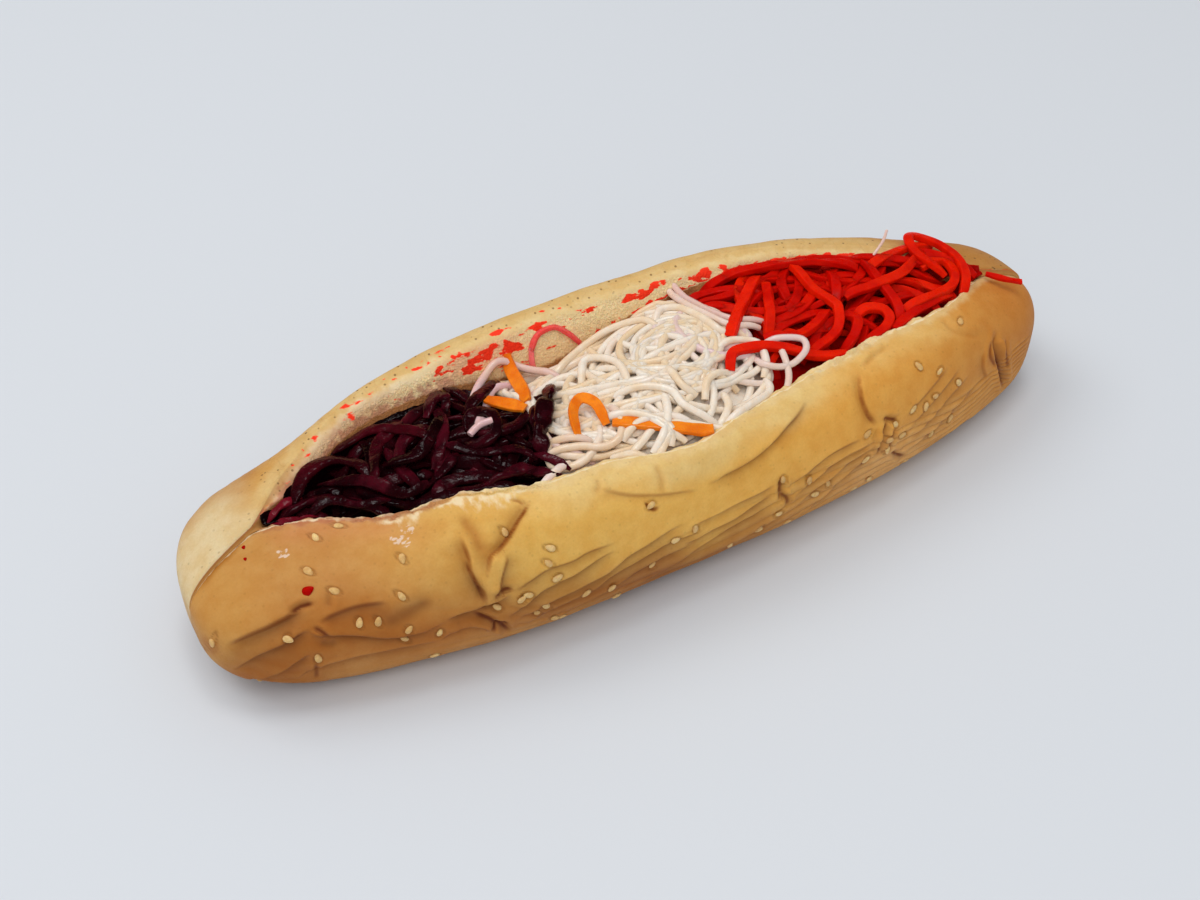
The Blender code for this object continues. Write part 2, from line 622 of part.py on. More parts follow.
def make_cores(materials, collection):
    """One core for each heap, cut from a loft along the trough at the lines where the heaps meet."""
    stations = [x for x in skin_stations() if FILLING_LEFT < x < FILLING_RIGHT]
    grid = np.array([[(x, y, z) for y, z in core_section(x)] for x in stations])
    caps = (grid[0].mean(axis=0), grid[-1].mean(axis=0))
    cores = {}
    for kind, name in HEAP_NAMES.items():
        core = loft(name, grid, caps, materials[kind], collection)
        combine(core, [heap_block(kind, collection)], "INTERSECT")
        cores[kind] = core
    return cores


def heap_edges(kind, y):
    """The stations between which a heap lies, at a distance across the slit."""
    before, after = HEAP_BOUNDS[kind]
    left = profile(y, before) if before else FILLING_LEFT
    right = profile(y, after) if after else FILLING_RIGHT
    return left, right


def heap_block(kind, collection):
    """A tall block over a heap's share of the slit, whose ends follow the lines between the heaps."""
    across = np.linspace(-SLIT_REACH, SLIT_REACH, BLOCK_POINTS)
    ends = [heap_edges(kind, y) for y in across]
    left = [(a + EDGE_HALF_GAP, y) for (a, _), y in zip(ends, across)]
    right = [(b - EDGE_HALF_GAP, y) for (_, b), y in zip(ends, across)]
    bm = bmesh.new()
    outline = [bm.verts.new((x, y, 0.0)) for x, y in left + right[::-1]]
    base = bm.faces.new(outline)
    raised = bmesh.ops.extrude_face_region(bm, geom=[base])["geom"]
    upper = [part for part in raised if isinstance(part, bmesh.types.BMVert)]
    bmesh.ops.translate(bm, verts=upper, vec=(0, 0, BLOCK_HEIGHT))
    bmesh.ops.recalc_face_normals(bm, faces=bm.faces)
    mesh = bpy.data.meshes.new("block")
    bm.to_mesh(mesh)
    bm.free()
    return add_mesh("block", mesh, None, collection)


class Surface:
    """Height of what lies in the slit so far, over a grid in plan, for the next shred to drape over."""

    def __init__(self):
        self.x = np.arange(FILLING_LEFT, FILLING_RIGHT, GRID)
        self.y = np.arange(-SLIT_REACH, SLIT_REACH, GRID)
        self.height = np.array([top_height(x, self.y) for x in self.x])
        troughs = [slit_parts(x)[1] for x in self.x]
        self.near = np.array([trough[-1][0] for trough in troughs])
        self.far = np.array([trough[0][0] for trough in troughs])

    def cells(self, plan):
        i = np.clip(np.rint((plan[:, 0] - self.x[0]) / GRID).astype(int), 0, len(self.x) - 1)
        j = np.clip(np.rint((plan[:, 1] - self.y[0]) / GRID).astype(int), 0, len(self.y) - 1)
        return i, j

    def holds(self, kind, plan, margin):
        """Whether each point in plan is over the heap's own share of the slit, clear of its edges."""
        left, right = heap_edges(kind, plan[:, 1])
        i, _ = self.cells(plan)
        between = (plan[:, 0] > left + margin) & (plan[:, 0] < right - margin)
        return between & (plan[:, 1] > self.near[i] + margin) & (plan[:, 1] < self.far[i] - margin)

    def drape(self, kind, plan, half_width, half_height, rise):
        """Points in space of a shred laid along a path in plan, which then counts as laid."""
        run = np.gradient(plan, axis=0)
        side = np.stack([-run[:, 1], run[:, 0]], axis=1) / np.linalg.norm(run, axis=1, keepdims=True)
        spots = [plan + run * a + side * half_width * b for a in UNDER_RUN for b in UNDER_SIDE]
        under = np.max([self.height[self.cells(spot)] for spot in spots], axis=0)
        own = np.zeros(len(plan), bool) if kind == "orange" else self.holds(kind, plan, half_width)
        height = under + np.where(own, half_height * (1 - SINK), half_height + CLEARANCE)
        for _ in range(BRIDGING):
            height[1:-1] = np.maximum(height[1:-1], (height[:-2] + height[2:]) / 2)
        height += rise * np.sin(np.linspace(0, math.pi, len(plan)))
        for end in (0, -1):
            if own[end]:
                height[end] = min(height[end], top_height(*plan[end]) - TUCK)
        line = np.column_stack([plan, height])
        for point in evenly(line, 4 * len(line)):
            near = np.hypot(self.x[:, None] - point[0], self.y[None, :] - point[1]) < half_width
            self.height = np.where(near, np.maximum(self.height, point[2] + half_height), self.height)
        return line


def loose_path(draws, surface, kind, length, bend):
    """A seeded path in plan that curves no tighter than the bend and stays over its own heap."""
    while True:
        start = np.array([draws.uniform(FILLING_LEFT, FILLING_RIGHT), draws.uniform(-SLIT_REACH, SLIT_REACH)])
        heading = draws.uniform(0, 2 * math.pi)
        turn = draws.choice((-1, 1)) * draws.uniform(0.4, 1.0) / bend
        points = [start]
        step = length / (LOOSE_POINTS - 1)
        for _ in range(LOOSE_POINTS - 1):
            heading += turn * step
            points.append(points[-1] + step * np.array([math.cos(heading), math.sin(heading)]))
        if surface.holds(kind, np.array(points), EDGE_MARGIN).all():
            return np.array(points)


def loose_shreds(surface, placed):
    """Seeded shreds for the bare places: each is the draw that lies farthest from what is placed."""
    shreds = []
    for kind, count, length, bend, seed in LOOSE_SHREDS:
        draws = random.Random(seed)
        taken = np.vstack([through(points, 2 * len(points)) for name, _, points in placed if name == kind])
        for _ in range(count):
            tries = [loose_path(draws, surface, kind, length, bend) for _ in range(LOOSE_TRIES)]
            gaps = [np.linalg.norm(path[:, None] - taken, axis=2).min(axis=1).mean() for path in tries]
            best = tries[int(np.argmax(gaps))]
            taken = np.vstack([taken, best])
            shreds.append((kind, 0.0, best))
    return shreds


def make_noodle(name, line, collection):
    """A round strand along a line in space."""
    data = bpy.data.curves.new(name, "CURVE")
    data.dimensions = "3D"
    data.bevel_depth = NOODLE_RADIUS
    data.bevel_resolution = 1
    data.use_fill_caps = True
    spline = data.splines.new("POLY")
    spline.points.add(len(line) - 1)
    for spot, point in zip(spline.points, line):
        spot.co = (*point, 1.0)
    curve = bpy.data.objects.new(name, data)
    collection.objects.link(curve)
    mesh = baked(curve)
    bpy.data.objects.remove(curve, do_unlink=True)
    bm = bmesh.new()
    bm.from_mesh(mesh)
    bmesh.ops.remove_doubles(bm, verts=bm.verts, dist=1e-6)
    bmesh.ops.recalc_face_normals(bm, faces=bm.faces)
    bm.to_mesh(mesh)
    bm.free()
    return add_mesh(name, mesh, None, collection)


def make_strip(name, line, width, thickness, material, collection):
    """A flat-sided strip along a line in space, thinner towards its ends."""
    run = np.gradient(line, axis=0)
    run /= np.linalg.norm(run, axis=1, keepdims=True)
    side = np.cross((0.0, 0.0, 1.0), run)
    side /= np.linalg.norm(side, axis=1, keepdims=True)
    up = np.cross(run, side)
    taper = STRIP_END + (1 - STRIP_END) * np.sin(np.linspace(0, math.pi, len(line)))[:, None]
    corners = ((-1, -1), (1, -1), (1, 1), (-1, 1))
    rings = [line + taper * (side * a * width / 2 + up * b * thickness / 2) for a, b in corners]
    grid = np.stack(rings, axis=1)
    return loft(name, grid, (line[0], line[-1]), material, collection)


def lay_shreds(surface, shreds, materials, parts, tools):
    """Lays the shreds in order, and returns those of each heap; the orange strips stay on their own."""
    heaps = {kind: [] for kind in HEAP_NAMES}
    orange_strips = 0
    for kind, rise, points in shreds:
        curve = through(points, DENSE)
        plan = evenly(curve, max(4, round(lengths_along(curve)[-1] / SHRED_STEP)))
        if kind == "radish":
            line = surface.drape(kind, plan, NOODLE_RADIUS, NOODLE_RADIUS, rise)
            heaps[kind].append(make_noodle("strand", line, tools))
            continue
        width, thickness = STRIP_SIZES[kind]
        line = surface.drape(kind, plan, width / 2, thickness / 2, rise)
        if kind == "orange":
            orange_strips += 1
            make_strip(f"orange_strip_{orange_strips}", line, width, thickness, materials[kind], parts)
        else:
            heaps[kind].append(make_strip("strip", line, width, thickness, None, tools))
    return heaps


def main():
    clear_scene()
    parts = new_collection("filled_sesame_roll")
    tools = new_collection("cutters", hidden=True)
    materials = {name: new_material(name) for name in MATERIALS}

    roll = make_roll(materials["roll"], parts)
    draws = random.Random(SEED_DRAWS)
    seeds = [make_seed(x, s, draws.uniform(0, math.pi), tools) for x, s in seed_spots()]
    combine(roll, seeds, "UNION")

    cores = make_cores(materials, parts)
    surface = Surface()
    shreds = (*loose_shreds(surface, PLACED_SHREDS), *PLACED_SHREDS)
    heaps = lay_shreds(surface, shreds, materials, parts, tools)
    for kind, core in cores.items():
        combine(core, heaps[kind], "UNION")


main()
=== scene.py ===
"""Dresses a long sesame roll that is filled with shredded beetroot, white radish and red carrot.

The roll lies along X on its flat underside, with the seeded near side towards -Y.  Lengths are in metres
unless a name ends in _mm.
"""

from __future__ import annotations

import logging
import math
from dataclasses import dataclass, field
from enum import Enum
from typing import Sequence

import bpy
import numpy as np
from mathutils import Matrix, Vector


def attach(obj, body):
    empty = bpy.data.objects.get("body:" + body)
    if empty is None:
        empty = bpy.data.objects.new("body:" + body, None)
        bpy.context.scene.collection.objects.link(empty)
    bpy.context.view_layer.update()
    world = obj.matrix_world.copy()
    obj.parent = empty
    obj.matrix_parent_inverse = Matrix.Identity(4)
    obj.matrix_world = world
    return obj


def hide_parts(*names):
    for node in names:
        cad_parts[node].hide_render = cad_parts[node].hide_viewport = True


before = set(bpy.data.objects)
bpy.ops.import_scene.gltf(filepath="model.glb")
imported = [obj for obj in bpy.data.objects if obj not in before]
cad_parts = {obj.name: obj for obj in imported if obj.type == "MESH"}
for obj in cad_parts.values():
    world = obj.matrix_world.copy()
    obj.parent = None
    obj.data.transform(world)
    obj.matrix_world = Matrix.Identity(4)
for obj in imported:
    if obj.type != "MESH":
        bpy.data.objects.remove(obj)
LOG = logging.getLogger("filled_roll")
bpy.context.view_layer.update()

MM = 0.001
CRISP_DEGREES = 18
Keys = Sequence[tuple[float, float]]
Array = np.ndarray
Thing, Tree, Socket = bpy.types.Object, bpy.types.NodeTree, bpy.types.NodeSocket
Material, Node = bpy.types.Material, bpy.types.Node


# ----------------------------------------------------------------------------------------------- small tools
def linear(code: str) -> tuple[float, float, float]:
    """Turns an sRGB hex colour into linear red, green and blue.

    Args:
        code: Six hex digits after a hash.

    Returns:
        The three channels from 0 to 1.
    """
    channels = [int(code[k : k + 2], 16) / 255 for k in (1, 3, 5)]
    return tuple(c / 12.92 if c <= 0.04045 else ((c + 0.055) / 1.055) ** 2.4 for c in channels)


def rgba(code: str) -> tuple[float, float, float, float]:
    """Returns the linear colour of a hex code with a full alpha."""
    return (*linear(code), 1.0)


def ramp(value: Array, low: float, high: float) -> Array:
    """Rises smoothly from 0 at low to 1 at high, and falls where high is below low."""
    t = np.clip((np.asarray(value, float) - low) / (high - low), 0, 1)
    return t * t * (3 - 2 * t)


def coated(base: Array, *coats: tuple[str, Array]) -> Array:
    """Mixes hex colours into an array of colours, one after the other.

    Args:
        base: Colours, with the channels last.
        *coats: A hex colour, and its share of each colour of the array, from 0 to 1.

    Returns:
        The mixed colours.
    """
    for code, share in coats:
        share = np.clip(share, 0, 1)[..., None]
        base = base * (1 - share) + np.array(linear(code)) * share
    return base


def graded(value: Array, stops: Sequence[tuple[float, str]]) -> Array:
    """Colours that run evenly from stop to stop.

    Args:
        value: Where each colour is looked up.
        stops: A value and a hex colour for each stop, in rising order.

    Returns:
        The colours, with the channels last.
    """
    places = [place for place, _ in stops]
    colours = np.array([linear(code) for _, code in stops])
    return np.stack([np.interp(value, places, colours[:, k]) for k in range(3)], axis=-1)


def profile(x: Array, keys: Keys) -> Array:
    """Value at x of the smooth curve through (x, value) keys.

    Args:
        x: Where the curve is looked up.
        keys: Its (x, value) keys in rising order.

    Returns:
        The value at each x.
    """
    stations, values = np.array(keys, float).T
    slopes = np.gradient(values, stations)
    x = np.clip(x, stations[0], stations[-1])
    i = np.clip(np.searchsorted(stations, x, side="right") - 1, 0, len(stations) - 2)
    step = stations[i + 1] - stations[i]
    t = (x - stations[i]) / step
    start = (2 * t**3 - 3 * t**2 + 1) * values[i] + (t**3 - 2 * t**2 + t) * step * slopes[i]
    return start + (3 * t**2 - 2 * t**3) * values[i + 1] + (t**3 - t**2) * step * slopes[i + 1]


def through(points: Sequence[Sequence[float]], count: int) -> Array:
    """A smooth curve through the points, as count points that are even in parameter.

    Args:
        points: What the curve passes through.
        count: How many points it gets.

    Returns:
        Its points.
    """
    spots = np.array(points, float)
    last = len(spots) - 1
    t = np.linspace(0, last, count)
    i = np.clip(t.astype(int), 0, last - 1)
    f = (t - i)[:, None]
    before, start, end, after = (spots[np.clip(i + k, 0, last)] for k in (-1, 0, 1, 2))
    cubic = 3 * start - before - 3 * end + after
    square = 2 * before - 5 * start + 4 * end - after
    return start + 0.5 * ((end - before) * f + square * f**2 + cubic * f**3)


def lengths_along(points: Array) -> Array:
    """Length along a polyline up to each of its points."""
    return np.concatenate([[0.0], np.cumsum(np.linalg.norm(np.diff(points, axis=0), axis=1))])


def points_at(points: Array, lengths: Array) -> Array:
    """Points of a polyline at the given lengths along it."""
    along = lengths_along(points)
    return np.stack([np.interp(lengths, along, points[:, k]) for k in range(points.shape[1])], axis=1)


def evenly(points: Array, count: int) -> Array:
    """Points of a polyline that are even in length."""
    return points_at(points, np.linspace(0, lengths_along(points)[-1], count))


class Grain:
    """Smooth seeded noise in space, from -1 to 1."""

    SIDE = 40

    def __init__(self, seed: int) -> None:
        """Fills the lattice from a seed."""
        self.lattice = np.random.default_rng(seed).uniform(-1, 1, (self.SIDE,) * 3)

    def at(self, points: Array, size: float) -> Array:
        """Noise at points, for bumps of about the given size.

        Args:
            points: Where the noise is looked up.
            size: Size of its bumps.

        Returns:
            The noise at each point.
        """
        place = points / size
        cell = np.floor(place).astype(int)
        f = place - cell
        f = f * f * (3 - 2 * f)
        total = np.zeros(points.shape[:-1])
        for corner in np.ndindex(2, 2, 2):
            index = tuple((cell[..., k] + corner[k]) % self.SIDE for k in range(3))
            weight = np.prod([f[..., k] if corner[k] else 1 - f[..., k] for k in range(3)], axis=0)
            total += weight * self.lattice[index]
        return total

    def layered(self, points: Array, size: float, octaves: int = 3) -> Array:
        """Noise of several sizes, each half the size and strength of the last.

        Args:
            points: Where the noise is looked up.
            size: Size of its largest bumps.
            octaves: How many sizes it has.

        Returns:
            The noise at each point.
        """
        shares = [0.5**k for k in range(octaves)]
        total = sum(share * self.at(points + 7 * k * size, size * share) for k, share in enumerate(shares))
        return total / sum(shares)


# ------------------------------------------------------------------------------------------------ node tools
MATH, MIX, RANGE = "ShaderNodeMath", "ShaderNodeMix", "ShaderNodeMapRange"
NOISE, CELLS, ATTRIBUTE = "ShaderNodeTexNoise", "ShaderNodeTexVoronoi", "ShaderNodeAttribute"
SMOOTH = {"interpolation_type": "SMOOTHSTEP"}
TINTED = {"data_type": "RGBA", "blend_type": "MULTIPLY"}


def wire(tree: Tree, node: Node, inputs: dict) -> None:
    """Sets a node's inputs.

    Args:
        tree: The node's tree.
        node: The node.
        inputs: Socket name or index to a value, or to the output socket that feeds it.
    """
    for key, value in inputs.items():
        if isinstance(value, Socket):
            tree.links.new(value, node.inputs[key])
        else:
            node.inputs[key].default_value = value


def add(tree: Tree, kind: str, inputs: dict | None = None, out: object = 0, **settings) -> object:
    """Adds a node to a tree with its settings and links.

    Args:
        tree: A shader or geometry tree.
        kind: The node's type name.
        inputs: Socket name or index to a value, or to the output socket that feeds it.
        out: Name or index of the output that is wanted, or None for the node itself.
        **settings: Attributes of the node.

    Returns:
        The output socket, or the node.
    """
    node = tree.nodes.new(kind)
    for name, value in settings.items():
        setattr(node, name, value)
    wire(tree, node, inputs or {})
    return node if out is None else node.outputs[out]


def painted(tree: Tree, base: object, *coats: tuple[object, object]) -> Socket:
    """Lays coats of colour over a base, one after the other.

    Args:
        tree: A shader tree.
        base: The colour below, as a value or a socket.
        *coats: The share of each coat, and its colour as a hex code, a value or a socket.

    Returns:
        The painted colour's socket.
    """
    for share, coat in coats:
        coat = rgba(coat) if isinstance(coat, str) else coat
        base = add(tree, MIX, {0: share, 6: base, 7: coat}, out=2, data_type="RGBA")
    return base


def grain_at(tree: Tree, size_mm: float, detail: float = 3.0, stretch: Sequence[float] = (1, 1, 1)) -> Socket:
    """Noise on Object coordinates.

    Args:
        tree: A shader tree.
        size_mm: Size of the grains.
        detail: How many finer layers it has.
        stretch: Scale of the coordinates along each axis.

    Returns:
        The noise's socket, from 0 to 1.
    """
    place = add(tree, "ShaderNodeTexCoord", out="Object")
    mapped = add(tree, "ShaderNodeMapping", {"Vector": place, "Scale": stretch})
    return add(tree, NOISE, {"Vector": mapped, "Scale": 1 / (size_mm * MM), "Detail": detail})


def frayed(
    tree: Tree, name: str, swing: float, low: float, size_mm: float, detail: float = 3.0,
    stretch: Sequence[float] = (1, 1, 1),
) -> Socket:
    """A mesh attribute with noise added, so that what it ends in is ragged.

    Args:
        tree: A shader tree.
        name: The attribute's name.
        swing: The most that the noise adds or takes.
        low: Noise value at which it takes most. It adds most at the same distance from 1.
        size_mm: Size of the grains.
        detail: How many finer layers the noise has.
        stretch: Scale of the coordinates along each axis.

    Returns:
        The sum's socket.
    """
    noise = {0: grain_at(tree, size_mm, detail, stretch), 1: low, 2: 1 - low, 3: -swing, 4: swing}
    value = add(tree, ATTRIBUTE, out="Fac", attribute_name=name)
    return add(tree, MATH, {0: value, 1: add(tree, RANGE, noise, **SMOOTH)}, operation="ADD")


def fresh_material(name: str, inputs: dict) -> tuple[Material, Tree, Node]:
    """Makes a material.

    Args:
        name: Its name.
        inputs: Values of its shader's inputs by name.

    Returns:
        The material, its node tree and its shader node.
    """
    material = bpy.data.materials.new(name)
    material.use_nodes = True
    tree = material.node_tree
    shader = tree.nodes["Principled BSDF"]
    wire(tree, shader, inputs)
    return material, tree, shader


@dataclass(frozen=True)
class Flesh:
    """What every finish of the food shares: how rough, wet and see-through it is."""

    name: str
    roughness: float
    depth_mm: float
    scatter: float
    scatter_colour: tuple[float, float, float]
    coat: float = 0.0
    ior: float = 1.4
    shine: float = 0.25
    coat_roughness: float = 0.12

    def start(self) -> tuple[Material, Tree, Node]:
        """Makes the material with its even numbers set on the shader.

        Returns:
            The material, its node tree and its shader node.
        """
        inputs = {
            "Roughness": self.roughness, "IOR": self.ior, "Specular IOR Level": self.shine,
            "Subsurface Weight": self.scatter, "Subsurface Radius": self.scatter_colour,
            "Subsurface Scale": self.depth_mm * MM, "Coat Weight": self.coat,
            "Coat Roughness": self.coat_roughness,
        }
        return fresh_material(self.name, inputs)


# ------------------------------------------------------------------------------------------- the roll's form
class Fold(Enum):
    """How a fold in the skin looks across its line."""

    VALLEY = "a soft rounded groove"
    CUT = "a sharp narrow crease"
    PLEAT = "a lapped pleat, high above its line and low below it"


@dataclass(frozen=True)
class Crease:
    """A fold in the skin: (x, length below the near crest) points, all in millimetres."""

    points: tuple[tuple[float, float], ...]
    depth_mm: float = 1.2
    width_mm: float = 1.6
    lip_mm: float = 0.3
    shade: float = 0.6
    style: Fold = Fold.VALLEY

    def span(self) -> tuple[float, float]:
        """The stations between which the fold shapes the skin.

        Returns:
            The least and the greatest station, in millimetres.
        """
        stations = [x for x, _ in self.points]
        margin = 6 * self.width_mm + 4
        return min(stations) - margin, max(stations) + margin

    def over(self, x_mm: Array, s_mm: Array) -> tuple[Array, Array]:
        """Signed distance from the fold, positive above it, and how far from its ends, from 0 to 1.

        Args:
            x_mm: Stations of the skin's points.
            s_mm: Their lengths below the near crest.

        Returns:
            The distance in millimetres, and the fade towards the ends.
        """
        line = through(self.points, 6 * len(self.points))
        along = lengths_along(line)
        best = np.full(x_mm.shape, 1e9)
        side = np.ones(x_mm.shape)
        reach = np.zeros(x_mm.shape)
        for k, (start, end) in enumerate(zip(line[:-1], line[1:])):
            run = end - start
            dx, ds = x_mm - start[0], s_mm - start[1]
            share = np.clip((dx * run[0] + ds * run[1]) / (run @ run + 1e-9), 0, 1)
            gap = np.hypot(dx - share * run[0], ds - share * run[1])
            nearer = gap < best
            best = np.where(nearer, gap, best)
            side = np.where(nearer, -np.sign(run[0] * ds - run[1] * dx + 1e-9), side)
            reach = np.where(nearer, along[k] + share * (along[k + 1] - along[k]), reach)
        fade = ramp(np.minimum(reach, along[-1] - reach), -0.5, 0.22 * along[-1])
        return best * side, fade

    def across(self, gap: Array) -> tuple[Array, Array, float]:
        """How the fold shapes and shades the skin at a distance from its line.

        Args:
            gap: Signed distance in millimetres, positive above the line.

        Returns:
            Height in millimetres, how far the skin is a shaded facet, and how dark the line is.
        """
        reach = gap / self.width_mm
        if self.style is Fold.VALLEY:
            height = self.lip_mm * np.exp(-(((reach - 2.0) / 1.1) ** 2)) - self.depth_mm * np.exp(-(reach**2))
            return height, np.exp(-(((reach + 0.1) / 0.8) ** 2)), 0.0
        if self.style is Fold.CUT:
            near_line = np.exp(-(np.abs(reach) ** 1.4))
            height = self.lip_mm * np.exp(-(((np.abs(reach) - 1.9) / 0.9) ** 2)) - self.depth_mm * near_line
            return height, 0.8 * near_line, 1.0
        upper = 0.5 + 0.5 * np.tanh(gap / 0.45)
        high = self.lip_mm * np.exp(-np.clip(reach, 0, None) / 2.4)
        low = -self.depth_mm * np.exp(np.clip(reach, None, 0) / 1.9)
        return high * upper + low * (1 - upper), (1 - upper) * np.exp(np.clip(reach, None, 0) / 1.2), 0.7


VALLEY, CUT, PLEAT = Fold.VALLEY, Fold.CUT, Fold.PLEAT

